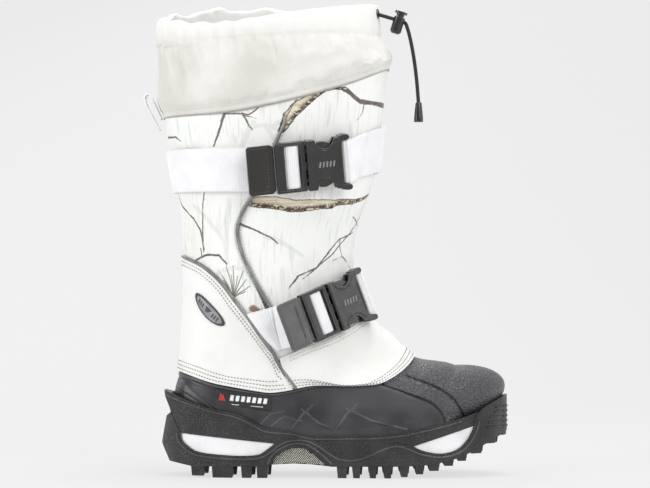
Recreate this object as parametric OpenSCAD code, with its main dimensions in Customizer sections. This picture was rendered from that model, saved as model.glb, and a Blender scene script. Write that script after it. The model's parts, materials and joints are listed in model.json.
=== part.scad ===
// Insulated winter boot, right foot. Toe along +X, outer side along -Y, up +Z.
// The origin is on the ground, under the ankle.

/* [Boot] */
// Length of the sole from heel to toe
sole_length = 317; // [305:1:330]
// Thickness of the moulded rubber shell
rubber_wall = 3; // [2.4:0.2:3.4]
// Thickness of the shaft fabric
fabric_wall = 1; // [0.6:0.1:1.1]
// Thickness of the leather panels
leather_wall = 1.7; // [1.2:0.1:1.8]
// Thickness of the foam laminate in the shaft
foam_wall = 2.8; // [2:0.1:2.9]
// Thickness of the shaft lining
lining_wall = 0.9; // [0.6:0.1:1]
// Thickness of the removable felt liner
liner_wall = 7; // [5:0.5:8]
// Diameter of the reflective piping
piping_d = 2.2; // [1.6:0.2:2.4]

/* [Sole] */
// Height of the cavity floor above the ground
cavity_floor = 35; // [34:0.5:35.5]
// Wall left between the sole cavity and the sole's edge
cavity_rim = 3.6; // [3:0.1:3.8]
// Height at which the tread blocks join the outsole
tread_top = 12; // [11:0.5:14]
// Width of the grooves between the tread blocks
tread_groove = 7; // [5:0.5:10]

/* [Straps] */
// Width of the webbing
strap_w = 39; // [34:0.5:40]
// Thickness of the webbing
webbing_wall = 1.6; // [1:0.1:1.6]
// Width of the buckle across the webbing
buckle_w = 45; // [44:0.5:50]
// Thickness of the buckle
buckle_t = 10.4; // [10:0.1:12]
// Length of the moulded pull tab
tab_l = 25; // [20:1:28]

/* [Drawcord] */
// Diameter of the cord
cord_d = 3.5; // [3:0.1:3.6]
// Diameter of the cord lock's barrel
lock_d = 10.4; // [10:0.2:12]
// Travel of the cord lock's plunger
press_travel = 3; // [2:0.5:3]

/* [Hidden] */

$fn = 48;
size_k = sole_length / 317;

// ---- form of the foot and leg ----------------------------------------------------------------
// Each section is a flat superellipse, from its back or bottom point to its front or top point:
// [back x, back z, front x, front z, half width, centre y, upper exponent, lower exponent]
SECTIONS = [
    [-101, 416, 98, 430, 73, 0, 2, 2],
    [-101.5, 394, 101, 401, 74, 0, 2, 2],
    [-100, 362, 108, 385, 75, 0, 2, 2],
    [-97, 328, 108, 368, 74, 0, 2.1, 2.1],
    [-90, 289, 102, 316, 69, 0, 2.1, 2.1],
    [-84.5, 258, 95, 270, 63, 0, 2.1, 2.1],
    [-80.5, 221, 81, 229, 57, 0, 2.1, 2.1],
    [-78.5, 197, 77, 200, 53, 0, 2.1, 2.1],
    [-78, 162, 78.5, 175, 50, 0, 2.1, 2.1],
    [-80, 129, 85.5, 152, 48, 0, 2.1, 2.1],
    [-82.5, 98, 96.5, 139, 46, 0, 2.1, 2.1],
    [-88, 72, 109, 129, 45, 0, 2.1, 2.2],
    [-84, 47, 120, 118, 44.5, 0, 2.2, 2.5],
    [-60, 37, 130, 109.5, 46, -1, 2.3, 3],
    [-10, 36, 140, 106, 49, -3, 2.4, 3.5],
    [40, 36, 152, 104.5, 53, -4, 2.4, 3.7],
    [92, 37, 162, 103, 56, -3, 2.3, 3.6],
    [136, 40, 170, 100.5, 54, 0, 2.2, 3.2],
];
last = len(SECTIONS) - 1;
// The toe closes as a rounded cap that reaches this far forward and up, and this far inward
toe_reach = [61, 3] * size_k;
toe_side = 7 * size_k;
toe_end = last + 0.995;
// The collar's top edge dips this much at the sides
collar_dip = 5;

// Offsets of the layers from the form
gap = 0.5;
leather_in = gap;
leather_out = leather_in + leather_wall;
foam_out = -fabric_wall - 1.3;
foam_in = foam_out - foam_wall;
lining_out = foam_in - 0.6;
lining_in = lining_out - lining_wall;
piping_at = piping_d / 2 + 0.2;
strap_in = piping_d + 0.8;
strap_out = strap_in + webbing_wall;

function spread(v) = [for (i = [0:7]) i < 6 ? v[i] * size_k : v[i]];
function section_at(t) =
    let (i = max(0, min(floor(t), last - 1)), f = t - i,
         p0 = SECTIONS[max(i - 1, 0)], p1 = SECTIONS[i],
         p2 = SECTIONS[i + 1], p3 = SECTIONS[min(i + 2, last)])
    spread((2 * p1 + (p2 - p0) * f + (2 * p0 - 5 * p1 + 4 * p2 - p3) * f * f
        + (3 * p1 - p0 - 3 * p2 + p3) * f * f * f) / 2);
function power(v, e) = sign(v) * pow(abs(v), e);

// Point of the form on section t, at angle phi from the back round the outer side, at offset o
function skin(t, phi, o = 0) =
    let (q = section_at(min(t, last)), back = [q[0], q[1]], front = [q[2], q[3]],
         reach = norm(front - back), along = (front - back) / reach,
         turn = max(t - last, 0) * 90, s = sin(turn), k = cos(turn),
         centre = (back + front) / 2 + toe_reach * (1 + o / norm(toe_reach)) * s,
         side = q[5] + (toe_side - q[5]) * s,
         e = 2 / (cos(phi) < 0 ? q[6] : q[7]),
         p = centre - along * (reach / 2 + o) * k * power(cos(phi), e),
         dip = collar_dip * max(1 - t, 0) * pow(sin(phi), 2))
    [p[0], side - (q[4] + o) * k * power(sin(phi), e), p[1] - dip];

function unit(v) = v / norm(v);
function outward(t, phi) =
    unit(cross(skin(t + 0.05, phi) - skin(t - 0.05, phi), skin(t, phi + 1) - skin(t, phi - 1)));
function mirrored(phi) = phi > 180 ? 360 - phi : abs(phi);

// Section at which the form passes below a side-view curve z(x), raised by dz
function below(phi, curve, lo, hi, dz = 0, o = 0, k = 24) =
    k == 0 ? (lo + hi) / 2 :
    let (m = (lo + hi) / 2, p = skin(m, phi, o))
    p[2] > lookup(p[0], curve) + dz ? below(phi, curve, m, hi, dz, o, k - 1)
        : below(phi, curve, lo, m, dz, o, k - 1);
// Angle at which section t passes a side-view curve x(z)
function past(t, curve, lo, hi, k = 20) =
    k == 0 ? (lo + hi) / 2 :
    let (m = (lo + hi) / 2, p = skin(t, m))
    p[0] < lookup(p[2], curve) ? past(t, curve, m, hi, k - 1) : past(t, curve, lo, m, k - 1);
function spline(p0, p1, p2, p3, f) =
    (2 * p1 + (p2 - p0) * f + (2 * p0 - 5 * p1 + 4 * p2 - p3) * f * f
        + (3 * p1 - p0 - 3 * p2 + p3) * f * f * f) / 2;
// Smooth open line through points, n pieces a span
function smooth(pts, n = 4) =
    let (m = len(pts) - 1)
    [for (i = [0:m - 1], j = [0:n - 1])
        spline(pts[max(i - 1, 0)], pts[i], pts[i + 1], pts[min(i + 2, m)], j / n), pts[m]];
// Smooth closed outline through points
function smooth_loop(pts, n = 4) =
    let (m = len(pts))
    [for (i = [0:m - 1], j = [0:n - 1])
        spline(pts[(i + m - 1) % m], pts[i], pts[(i + 1) % m], pts[(i + 2) % m], j / n)];

// ---- seam lines, side view -------------------------------------------------------------------
COLLAR_SEAM = smooth([[-93, 325], [-35, 327], [21, 338], [74, 354], [110, 371]]) * size_k;
QUARTER_SEAM = smooth([[-79, 199], [-60, 190], [-44, 176], [-32, 160], [-20, 144], [-5, 122],
    [7, 106], [16, 86], [22, 77], [45, 20]]) * size_k;
VAMP_SEAM = smooth([[-60, 80], [5, 106], [34, 118], [58, 127], [89, 146], [130, 172]]) * size_k;
RUBBER_EDGE = smooth([[-86, 97], [-69, 91.5], [-51, 85.5], [-28, 81], [-7, 77.5], [3, 76.5], [17, 78.5],
    [41, 83], [73, 82.5], [93, 83.5], [104, 86.5], [117, 94], [126, 102], [132, 109]]) * size_k;
// Line of the shaft piping as [height, x]
SHAFT_SEAM = [for (p = smooth([[100, 28], [120, 21], [158, -1], [177, -12], [195, -21], [209, -26],
    [225, -28], [240, -23], [253, -15], [273, -6], [304, 8], [330, 19], [350, 31]])) p * size_k];
UPPER_LINE = smooth([[-92, 278], [0, 277.5], [31, 281], [70, 288], [104, 299]]) * size_k;
LOWER_LINE = smooth([[-20, 127], [9, 135.5], [54, 152.4], [80, 164], [95, 172]]) * size_k;
LABEL_TOP = [[-100, 86], [-50, 80.2], [2, 74.4], [100, 64]] * size_k;
LABEL_LOW = [[-100, 68], [-50, 64.5], [2, 60.5], [100, 53]] * size_k;

ANGLES = [for (a = [0:5:180]) a];
COLLAR_T = [for (a = ANGLES) [a, below(a, COLLAR_SEAM, 1.5, 6)]];
QUARTER_T = [for (a = ANGLES) [a, below(a, QUARTER_SEAM, 5, toe_end)]];
VAMP_T = [for (a = ANGLES) [a, below(a, VAMP_SEAM, 5, toe_end)]];
RUBBER_T = [for (a = ANGLES) [a, below(a, RUBBER_EDGE, 7, toe_end)]];
function collar_t(phi) = lookup(mirrored(phi), COLLAR_T);
function quarter_t(phi) = lookup(mirrored(phi), QUARTER_T);
function vamp_t(phi) = lookup(mirrored(phi), VAMP_T);
function rubber_t(phi) = lookup(mirrored(phi), RUBBER_T);
SHAFT_PHI = [for (t = [2.5:0.25:10.5]) [t, past(t, SHAFT_SEAM, 20, 150)]];
function shaft_phi(t) = lookup(t, SHAFT_PHI);

// Angles at which the seams cross one another
function crossing(lo, hi, k = 20) =
    k == 0 ? lo : let (m = (lo + hi) / 2)
    quarter_t(m) < rubber_t(m) ? crossing(m, hi, k - 1) : crossing(lo, m, k - 1);
function vamp_start(lo, hi, k = 20) =
    k == 0 ? hi : let (m = (lo + hi) / 2)
    vamp_t(m) > quarter_t(m) ? vamp_start(m, hi, k - 1) : vamp_start(lo, m, k - 1);
quarter_end = crossing(30, 120);
vamp_from = vamp_start(30, 120);

// ---- solids from grids of points -------------------------------------------------------------
function ramp(a, b, n) = [for (i = [0:n]) a + (b - a) * i / n];
function flat(grid) = [for (row = grid, p = row) p];

// Wall between an outer and an inner grid; wrap joins the last column to the first
module wall(outer, inner, wrap = false) {
    n = len(outer);
    m = len(outer[0]);
    spans = wrap ? n : n - 1;
    function a(i, j) = (i % n) * m + j;
    function b(i, j) = n * m + a(i, j);
    faces = [
        for (i = [0:spans - 1]) each [
            for (j = [0:m - 2]) each [
                [a(i, j), a(i + 1, j), a(i + 1, j + 1)], [a(i, j), a(i + 1, j + 1), a(i, j + 1)],
                [b(i, j), b(i + 1, j + 1), b(i + 1, j)], [b(i, j), b(i, j + 1), b(i + 1, j + 1)]
            ],
            [a(i + 1, 0), a(i, 0), b(i, 0)], [a(i + 1, 0), b(i, 0), b(i + 1, 0)],
            [a(i, m - 1), a(i + 1, m - 1), b(i + 1, m - 1)], [a(i, m - 1), b(i + 1, m - 1), b(i, m - 1)]
        ],
        if (!wrap) for (j = [0:m - 2]) each [
            [a(0, j), a(0, j + 1), b(0, j + 1)], [a(0, j), b(0, j + 1), b(0, j)],
            [a(n - 1, j + 1), a(n - 1, j), b(n - 1, j)], [a(n - 1, j + 1), b(n - 1, j), b(n - 1, j + 1)]
        ]
    ];
    polyhedron(concat(flat(outer), flat(inner)), faces, convexity = 10);
}

// Closed-bottomed wall: the columns wrap round, and the last row closes on a tip
module cup(outer, inner, tip_out, tip_in) {
    n = len(outer);
    m = len(outer[0]);
    out_id = 2 * n * m;
    in_id = out_id + 1;
    function a(i, j) = (i % n) * m + j;
    function b(i, j) = n * m + a(i, j);
    faces = [
        for (i = [0:n - 1]) each [
            for (j = [0:m - 2]) each [
                [a(i, j), a(i + 1, j), a(i + 1, j + 1)], [a(i, j), a(i + 1, j + 1), a(i, j + 1)],
                [b(i, j), b(i + 1, j + 1), b(i + 1, j)], [b(i, j), b(i, j + 1), b(i + 1, j + 1)]
            ],
            [a(i + 1, 0), a(i, 0), b(i, 0)], [a(i + 1, 0), b(i, 0), b(i + 1, 0)],
            [a(i, m - 1), a(i + 1, m - 1), out_id], [b(i + 1, m - 1), b(i, m - 1), in_id]
        ]
    ];
    polyhedron(concat(flat(outer), flat(inner), [tip_out, tip_in]), faces, convexity = 10);
}

// Solid through closed cross-sections; wrap joins the last section to the first
module loft(sections, wrap = false) {
    n = len(sections);
    m = len(sections[0]);
    spans = wrap ? n : n - 1;
    function a(i, j) = (i % n) * m + (j % m);
    faces = [
        for (i = [0:spans - 1], j = [0:m - 1]) each
            [[a(i, j), a(i + 1, j), a(i + 1, j + 1)], [a(i, j), a(i + 1, j + 1), a(i, j + 1)]],
        if (!wrap) [for (j = [0:m - 1]) a(0, j)],
        if (!wrap) [for (j = [m - 1:-1:0]) a(n - 1, j)]
    ];
    polyhedron(flat(sections), faces, convexity = 10);
}

// Round cord of diameter d along a line of points
module cord(path, d, sides = 8) {
    n = len(path);
    loft([for (i = [0:n - 1])
        let (dir = unit(path[min(i + 1, n - 1)] - path[max(i - 1, 0)]),
             side = unit(cross(dir, abs(dir[1]) > 0.9 ? [1, 0, 0] : [0, 1, 0])),
             other = cross(dir, side))
        [for (k = [0:sides - 1]) let (turn = 360 * k / sides)
            path[i] + (side * cos(turn) + other * sin(turn)) * d / 2]]);
}

// Wall over columns of [angle, top section, bottom section]
module panel(columns, rows, in, out, wrap = false) {
    function grid(o) = [for (c = columns)
        [for (f = ramp(0, 1, rows)) skin(c[1] + (c[2] - c[1]) * f, c[0], o)]];
    wall(grid(out), grid(in), wrap);
}

// ---- shell, panels and linings ---------------------------------------------------------------
// The shell's edge stands this many sections up behind the leather, and this far inside it
edge_lap = 0.22;
edge_inset = 0.95;
// Sections down a column that ends on the toe cap: n on the form, then some round the cap
CAP_ROWS = [0.2, 0.4, 0.58, 0.74, 0.87, 0.995];
function to_toe(top, n) = concat(ramp(top, last, n), [for (f = CAP_ROWS) last + f]);
function shell_grid(o) = [for (a = ramp(0, 351, 39)) let (top = rubber_t(a) - edge_lap)
    concat([skin(top, a, o - edge_inset), skin(top + edge_lap, a, o - edge_inset)],
        [for (t = to_toe(top + edge_lap + 0.12, 11)) skin(t, a, o)])];

module rubber_shell() color("#46464a")
    cup(shell_grid(0), shell_grid(-rubber_wall), skin(last + 1, 0, 0), skin(last + 1, 0, -rubber_wall));

module heel_quarter() color("#f1f1ec")
    panel([for (a = ramp(-quarter_end + 1, quarter_end - 1, 26))
        [a, quarter_t(a), max(rubber_t(a), quarter_t(a) + 0.1)]], 6, leather_in, leather_out);

module vamp() color("#f3f3ee")
    panel([for (a = ramp(vamp_from + 2, 358 - vamp_from, 38))
        let (side = mirrored(a), low = side < quarter_end + 10 ? above(quarter_t(a), a, 8.8) : 99,
             edge = below(side, RUBBER_EDGE, 7, toe_end, 1.2))
        [a, vamp_t(a), max(min(low, edge), vamp_t(a) + 0.06)]], 9, leather_in, leather_out);

// Section that lies d millimetres up the form from section t
function above(t, phi, d) = t - d * 0.1 / norm(skin(t + 0.05, phi) - skin(t - 0.05, phi));
// Lower edge of the shaft fabric, tucked under the leather
tuck = 0.12;
function fabric_low(phi) = min(quarter_t(phi), vamp_t(phi)) + tuck;
// Grid point of the rear panel: a runs from -1 to 1 between the side seams, b from the top down
function rear_spot(a, b, phi, k = 5) =
    let (t = collar_t(phi) + (fabric_low(phi) - collar_t(phi)) * b)
    k == 0 ? [t, phi] : rear_spot(a, b, a * (shaft_phi(t) - 0.7), k - 1);
function front_spot(a, b, phi, k = 5) =
    let (t = collar_t(phi) + (vamp_t(phi) + tuck - collar_t(phi)) * b, edge = shaft_phi(t) + 0.7)
    k == 0 ? [t, phi] : front_spot(a, b, 180 + a * (180 - edge), k - 1);

module shaft_rear_panel() color("#e9ebe6") {
    spots = [for (a = ramp(-1, 1, 24)) [for (b = ramp(0, 1, 16)) rear_spot(a, b, a * 70)]];
    wall([for (col = spots) [for (s = col) skin(s[0], s[1], 0)]],
        [for (col = spots) [for (s = col) skin(s[0], s[1], -fabric_wall)]]);
}

module shaft_front_panel() color("#ecede8") {
    spots = [for (a = ramp(-1, 1, 24)) [for (b = ramp(0, 1, 16)) front_spot(a, b, 180 + a * 100)]];
    wall([for (col = spots) [for (s = col) skin(s[0], s[1], 0)]],
        [for (col = spots) [for (s = col) skin(s[0], s[1], -fabric_wall)]]);
}

// The piping lies beside the leather's edge, square to the seam
function beside_quarter(a) =
    let (run = skin(quarter_t(a + 0.5), a + 0.5) - skin(quarter_t(a - 0.5), a - 0.5),
         up = unit(cross(outward(quarter_t(a), a), run)))
    skin(quarter_t(a), a, piping_at) + up * (piping_d / 2 + 0.87);
module quarter_piping() color("#8e918e")
    cord([for (a = ramp(-quarter_end, quarter_end, 60)) beside_quarter(a)], piping_d, 6);

module shaft_piping() color("#8e918e")
    for (side = [-1, 1]) {
        low = vamp_t(shaft_phi(9.5)) - 0.1;
        cord([for (t = ramp(3.75, low, 30)) skin(t, side * shaft_phi(t), piping_at)], piping_d, 6);
    }

lining_columns = [for (a = ramp(0, 350, 35)) [a, collar_t(a) + 0.02, rubber_t(a) - edge_lap - 0.2]];
module shaft_foam() color("#d8cfa8")
    panel(lining_columns, 16, foam_in, foam_out, true);

module shaft_lining() color("#3c4046")
    panel(lining_columns, 16, lining_in, lining_out, true);

// The liner hangs clear of the lining in the shaft and fills the shell further down
liner_gap = 1.5;
function liner_out(t, phi) =
    let (f = max(0, min(1, (t - rubber_t(phi) - 0.1) / 1.5)))
    (lining_in - liner_gap) * (1 - f) - (rubber_wall + liner_gap) * f;
liner_top = 3.2;
module inner_boot() {
    function grid(depth) = [for (a = ramp(0, 350, 35))
        [for (t = to_toe(liner_top, 15)) skin(t, a, liner_out(t, a) - depth)]];
    end_o = -rubber_wall - liner_gap;
    color("#9a9c9f")
        cup(grid(0), grid(liner_wall), skin(last + 1, 0, end_o), skin(last + 1, 0, end_o - liner_wall));
}

// ---- snow collar and drawcord ----------------------------------------------------------------
collar_in = 0.6;
collar_out = 1.6;
hem_in = -4.6;
tunnel_t = 0.34;
eyelet_phi = 168;
// Hooked profile of the collar as [section, offset], with the cord tunnel inside the fold
function collar_profile(phi) = [
    for (f = ramp(0, 1, 5)) [0.06 + (collar_t(phi) + 0.1 - 0.06) * f, collar_out],
    for (f = ramp(1, 0, 5)) [0.1 + (collar_t(phi) + 0.1 - 0.1) * f, collar_in],
    [0.1, hem_in + 1], [0.95, hem_in + 1], [0.95, hem_in], [0.02, hem_in], [0, -1.5]
];
module at_eyelet() at_skin(tunnel_t, eyelet_phi, collar_out, 0) children();
// The wall and its eyelet hole are merged as one mesh
module snow_collar() color("#eeece6")
    resize([0, 0, 0]) difference() {
        loft([for (a = ramp(0, 352.5, 47)) [for (q = collar_profile(a)) skin(q[0], a, q[1])]], true);
        at_eyelet() translate([0, 0, -3]) cylinder(h = 6, d = cord_d + 3.4, $fn = 16);
    }

module drawcord_eyelet() color("#2c2c2e")
    at_eyelet() difference() {
        union() {
            translate([0, 0, 0.35]) cylinder(h = 1.2, d = cord_d + 6);
            translate([0, 0, -1.3]) cylinder(h = 2.2, d = cord_d + 2.9);
        }
        translate([0, 0, -3]) cylinder(h = 6, d = cord_d + 1.6);
    }

// The lock sits on the straight run of cord that leaves the eyelet
eyelet_at = skin(tunnel_t, eyelet_phi, collar_out);
lock_at = eyelet_at + [20, -1, -6];
cord_dir = unit(lock_at - eyelet_at);
lock_lean = unit([0.52, 0, 0.85] - cord_dir * ([0.52, 0, 0.85] * cord_dir));
tail = smooth([lock_at + cord_dir * 6.5, lock_at + [9.5, -2, -13], lock_at + [13, -2, -30],
    lock_at + [16, -2, -52], lock_at + [18, -2, -76]], 4);

module drawcord() color("#262628") {
    loft([for (a = ramp(0, 352.5, 47))
        [for (k = [0:5]) skin(tunnel_t + 0.065 * sin(60 * k), a, -1.5 + 1.6 * cos(60 * k))]], true);
    cord(concat([eyelet_at - cord_dir * 0.2, lock_at - cord_dir * 8, lock_at], tail), cord_d);
}

// Local frame of the lock: z along the barrel, x along the cord
module at_lock() {
    y = cross(lock_lean, cord_dir);
    multmatrix([[cord_dir[0], y[0], lock_lean[0], lock_at[0]], [cord_dir[1], y[1], lock_lean[1], lock_at[1]],
        [cord_dir[2], y[2], lock_lean[2], lock_at[2]], [0, 0, 0, 1]]) children();
}

barrel_low = -12.5;
barrel_high = 3;
bore_r = lock_d / 2 - 1.3;
plunger_r = bore_r - 0.15;
// Cross hole for the cord, lengthened along the barrel by the plunger's travel
module cord_slot(up, r) {
    translate([-20, 0, 0]) rotate([0, 90, 0]) cylinder(h = 40, r = r);
    translate([-20, 0, up]) rotate([0, 90, 0]) cylinder(h = 40, r = r);
    translate([-20, -r, 0]) cube([40, 2 * r, up]);
}

module lock_barrel() color("#1d1d1f")
    at_lock() difference() {
        union() {
            translate([0, 0, barrel_low + 2]) cylinder(h = barrel_high - barrel_low - 2, d = lock_d);
            translate([0, 0, barrel_low]) cylinder(h = 2, d1 = lock_d - 3.4, d2 = lock_d);
        }
        translate([0, 0, barrel_low + 1.5]) cylinder(h = 30, r = bore_r);
        translate([-20, 0, 0]) rotate([0, 90, 0]) cylinder(h = 40, r = cord_d / 2 + 0.25);
    }

module lock_plunger() color("#232325")
    at_lock() difference() {
        union() {
            translate([0, 0, -5]) cylinder(h = barrel_high + press_travel + 5.6, r = plunger_r);
            translate([0, 0, barrel_high + press_travel + 0.3]) cylinder(h = 1.9, d = lock_d + 1.6);
        }
        cord_slot(press_travel + 0.1, cord_d / 2 + 0.2);
    }

module lock_spring() color("#b8b8bc")
    at_lock() {
        turns = 4;
        low = barrel_low + 2.1;
        high = -5.6;
        pts = [for (a = [0:20:360 * turns])
            [1.9 * cos(a), 1.9 * sin(a), low + (high - low) * a / (360 * turns)]];
        cord(pts, 0.8, 6);
    }

bell_at = tail[len(tail) - 1];
module cord_bell() color("#222224")
    translate(bell_at - [0, 0, 17]) difference() {
        union() {
            cylinder(h = 4, d = 8.4);
            translate([0, 0, 4]) cylinder(h = 14, d1 = 8.4, d2 = 5.6);
        }
        translate([0, 0, 15]) cylinder(h = 10, d = cord_d + 0.6);
    }

// ---- small parts on the form -----------------------------------------------------------------
// Local frame on the form: z outward, x forward along the form, raised at the front by lift_deg
module at_skin(t, phi, o, lift_deg) {
    n = outward(t, phi);
    aim = [cos(lift_deg), 0, sin(lift_deg)];
    x = unit(aim - n * (aim * n));
    y = cross(n, x);
    p = skin(t, phi, o);
    multmatrix([[x[0], y[0], n[0], p[0]], [x[1], y[1], n[1], p[1]], [x[2], y[2], n[2], p[2]], [0, 0, 0, 1]])
        children();
}

module pull_loop() color("#f4f4f2") {
    half = 9;
    root_x = skin(3, 0, collar_out)[0] - 0.9;
    line = [[root_x, 326], [root_x - 4, 335], [root_x - 9.5, 346], [root_x - 13, 349], [root_x - 15.5, 345.5],
        [root_x - 13.5, 338], [root_x - 8, 328], [root_x - 1.6, 316]] * size_k;
    soft = smooth(line, 3);
    sections = [for (i = [0:len(soft) - 1])
        let (d = unit(soft[min(i + 1, len(soft) - 1)] - soft[max(i - 1, 0)]), s = [-d[1], d[0]] * 0.7)
        [[soft[i][0] + s[0], half, soft[i][1] + s[1]], [soft[i][0] + s[0], -half, soft[i][1] + s[1]],
         [soft[i][0] - s[0], -half, soft[i][1] - s[1]], [soft[i][0] - s[0], half, soft[i][1] - s[1]]]];
    loft(sections);
}

badge_t = 8.4;
badge_phi = 48;
badge_l = 43;
badge_w = 11.5;
module side_badge() {
    // Oval rings that follow the form, with the long axis falling towards the front
    across = norm(skin(badge_t, badge_phi + 1) - skin(badge_t, badge_phi - 1)) / 2;
    down = norm(skin(badge_t + 0.1, badge_phi) - skin(badge_t - 0.1, badge_phi)) * 5;
    slope = 47;
    function spot(r, a, o) =
        let (u = r * badge_l / 2 * cos(a), v = r * badge_w / 2 * sin(a),
             x = u * cos(slope) - v * sin(slope), y = u * sin(slope) + v * cos(slope))
        skin(badge_t + y / down, badge_phi + x / across, o);
    // [size, height above the leather], from the underside's middle to the face
    rings = [[0.35, 0.4], [0.7, 0.4], [1, 0.35], [1, 1.3], [0.86, 1.9], [0.5, 2.1]];
    n = 28;
    pts = concat([for (q = rings, k = [0:n - 1]) spot(q[0], 360 * k / n, leather_out + q[1])],
        [spot(0, 0, leather_out + 2.2), spot(0, 0, leather_out + 0.4)]);
    top = len(rings) - 1;
    color("#77787c") polyhedron(pts, [
        for (k = [0:n - 1]) let (m = (k + 1) % n) each [
            for (i = [0:top - 1]) let (low = i * n, high = low + n)
                each [[low + k, high + k, high + m], [low + k, high + m, low + m]],
            [top * n + k, len(rings) * n, top * n + m], [k, m, len(rings) * n + 1]
        ]
    ]);
}

// Angle at which the form's outer side has the side-view position x, z
function angle_at(x, z, lo = 30, hi = 110, k = 14) =
    k == 0 ? (lo + hi) / 2 :
    let (m = (lo + hi) / 2)
    skin(level(m, z), m)[0] < x ? angle_at(x, z, m, hi, k - 1) : angle_at(x, z, lo, m, k - 1);
function level(phi, z) = below(phi, [[-300, z], [300, z]], 7, 15, k = 14);

label_from = -48 * size_k;
label_to = 2 * size_k;
module side_label() {
    spots = [for (x = ramp(label_from, label_to, 10)) [for (f = ramp(0, 1, 2))
        let (z = lookup(x, LABEL_TOP) * (1 - f) + lookup(x, LABEL_LOW) * f, a = angle_at(x, z))
        [level(a, z), a]]];
    function face(o) = [for (col = spots) [for (s = col) skin(s[0], s[1], o)]];
    color("#1c1c1e") wall(face(1.25), face(0.45));
}

// The insole lies on the floor of the liner
insole_t = 3.4;
insole_out = -rubber_wall - liner_gap - liner_wall - 2.9;
module insole() color("#7d7466")
    panel([for (a = ramp(-38, 38, 12)) [a, 13.1, last + 0.35]], 14, insole_out - insole_t, insole_out);

// ---- sole ------------------------------------------------------------------------------------
SOLE_PLAN = smooth_loop([
    [-99, 0], [-96.5, -14], [-84, -31], [-60, -43], [-25, -49.5], [15, -51.5], [60, -53], [110, -57],
    [145, -55], [172, -49], [193, -36], [209, -19], [218.2, 5], [212, 29], [195, 44], [172, 53],
    [145, 54], [110, 49], [60, 44], [15, 44], [-25, 47], [-60, 42], [-84, 30], [-96.5, 13]]) * size_k;
// The plan outline moved inwards or outwards along its own normals
function offset_plan(d) =
    let (n = len(SOLE_PLAN))
    [for (i = [0:n - 1])
        let (run = SOLE_PLAN[(i + 1) % n] - SOLE_PLAN[(i + n - 1) % n], s = run / norm(run))
        SOLE_PLAN[i] + [s[1], -s[0]] * d];

// Lines on the sole's side, each shared by the two parts that meet there
HEEL_SCOOP = smooth([[-80, 39.7], [-79.3, 34], [-73.5, 28], [-62.4, 22.7], [-33, 20], [-11, 20.7],
    [-2, 25.5], [5, 31]]) * size_k;
WAVE = smooth([[5, 31], [16.3, 36], [30.7, 37.1], [44, 32.8], [60.3, 22], [67, 19.6], [76.7, 19.2],
    [88, 22.5], [104, 29.7], [116, 32], [130, 28.7]]) * size_k;
FORE_SCOOP = smooth([[130, 28.7], [140, 24.3], [155.5, 22], [169.6, 25.5], [178.7, 33.6],
    [184.3, 43.3], [185.2, 46.6]]) * size_k;
BUMPER = smooth([[185.2, 46.6], [186.6, 53], [190.8, 59.6], [198, 64.7], [210.4, 70.6], [219, 74]]) * size_k;
HEEL_COUNTER = smooth([[-90, 58], [-86, 50], [-82, 42], [-80, 39.7]]) * size_k;
ARCH = smooth([[2.3, 11.9], [5.4, 18], [10.9, 22.8], [21.7, 27.7], [33, 26.9], [43.9, 19.7],
    [54.8, 10.4]]) * size_k;
BAND_TOP = smooth([[190.8, 59.6], [175, 54.3], [158.6, 49.8], [126, 42.4], [98.7, 39.1], [73, 38.4],
    [38.4, 38.2], [21.7, 42.6], [3.4, 44.1], [-5.4, 45.8], [-15.3, 51.2], [-30.7, 58], [-51.5, 62],
    [-66, 66.3], [-89, 75.4], [-96.5, 78]]) * size_k;
SOLE_UNDER = smooth([[219, 41], [208, 35.5], [195, 29], [181, 22], [168, 17], [154, 13.5], [140, 11.5],
    [120, 10.6], [90, 10.4], [58, 10.2]]) * size_k;
// Tread rows as [from x, to x, height of the ground end]
TREAD = [[-71, -58, 1.5], [-52, -32, 0], [-25.5, -15, 0], [-11.5, -0.5, 0], [61, 71, 0], [75, 83, 0],
    [90, 97.5, 0], [103, 111, 0], [118, 126, 1.2], [131.5, 140, 3.6], [143.5, 154, 6.6], [157, 167, 11],
    [169.5, 179, 15.2], [181.5, 193.5, 21.5], [195, 207, 30], [208.5, 216, 36.5]] * size_k;

module side_slab(pts) rotate([90, 0, 0]) linear_extrude(180, center = true) polygon(pts);
module plan_block(d, h) linear_extrude(h) polygon(offset_plan(d));

// Room for the shell above the floor, and the slot for the shank in the floor
shank_t = 1.4;
module sole_cavity() {
    intersection() {
        translate([0, 0, cavity_floor]) plan_block(-cavity_rim, 60);
        translate([-89.6 * size_k, -80, 0]) cube([400, 160, 120]);
    }
    translate([-42, -11.2, cavity_floor - shank_t - 0.2]) cube([104.4, 22.4, 10]);
}

module outsole() color("#2e2e30") {
    difference() {
        intersection() {
            plan_block(0, 90);
            side_slab(concat([[-4, 10.4], [-70, 10], [-91, 14], [-99, 30], [-94, 55], [-90, 58]] * size_k,
                HEEL_COUNTER, HEEL_SCOOP, WAVE, FORE_SCOOP, BUMPER, SOLE_UNDER, [[54.8, 10.4]] * size_k,
                [for (i = [len(ARCH) - 1:-1:0]) ARCH[i]]));
        }
        sole_cavity();
    }
    tread();
}

// Block across the sole that narrows towards the ground
tread_taper = 1.1;
module tread_block(from, to, low, high, width)
    across(width) polygon([[from, high], [from + tread_taper, low], [to - tread_taper, low], [to, high]]);

module tread()
    intersection() {
        plan_block(-0.6, 60);
        union() {
            for (r = TREAD) {
                block_top = max(tread_top, r[2] + 8);
                side_w = 72 - tread_groove;
                for (side = [-1, 1]) translate([0, side * (8 + tread_groove + side_w / 2), 0])
                    tread_block(r[0], r[1], r[2], block_top, side_w);
                tread_block(r[0] + 1.5, r[1] + 2.5, r[2], block_top, 16);
            }
        }
    }

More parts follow.
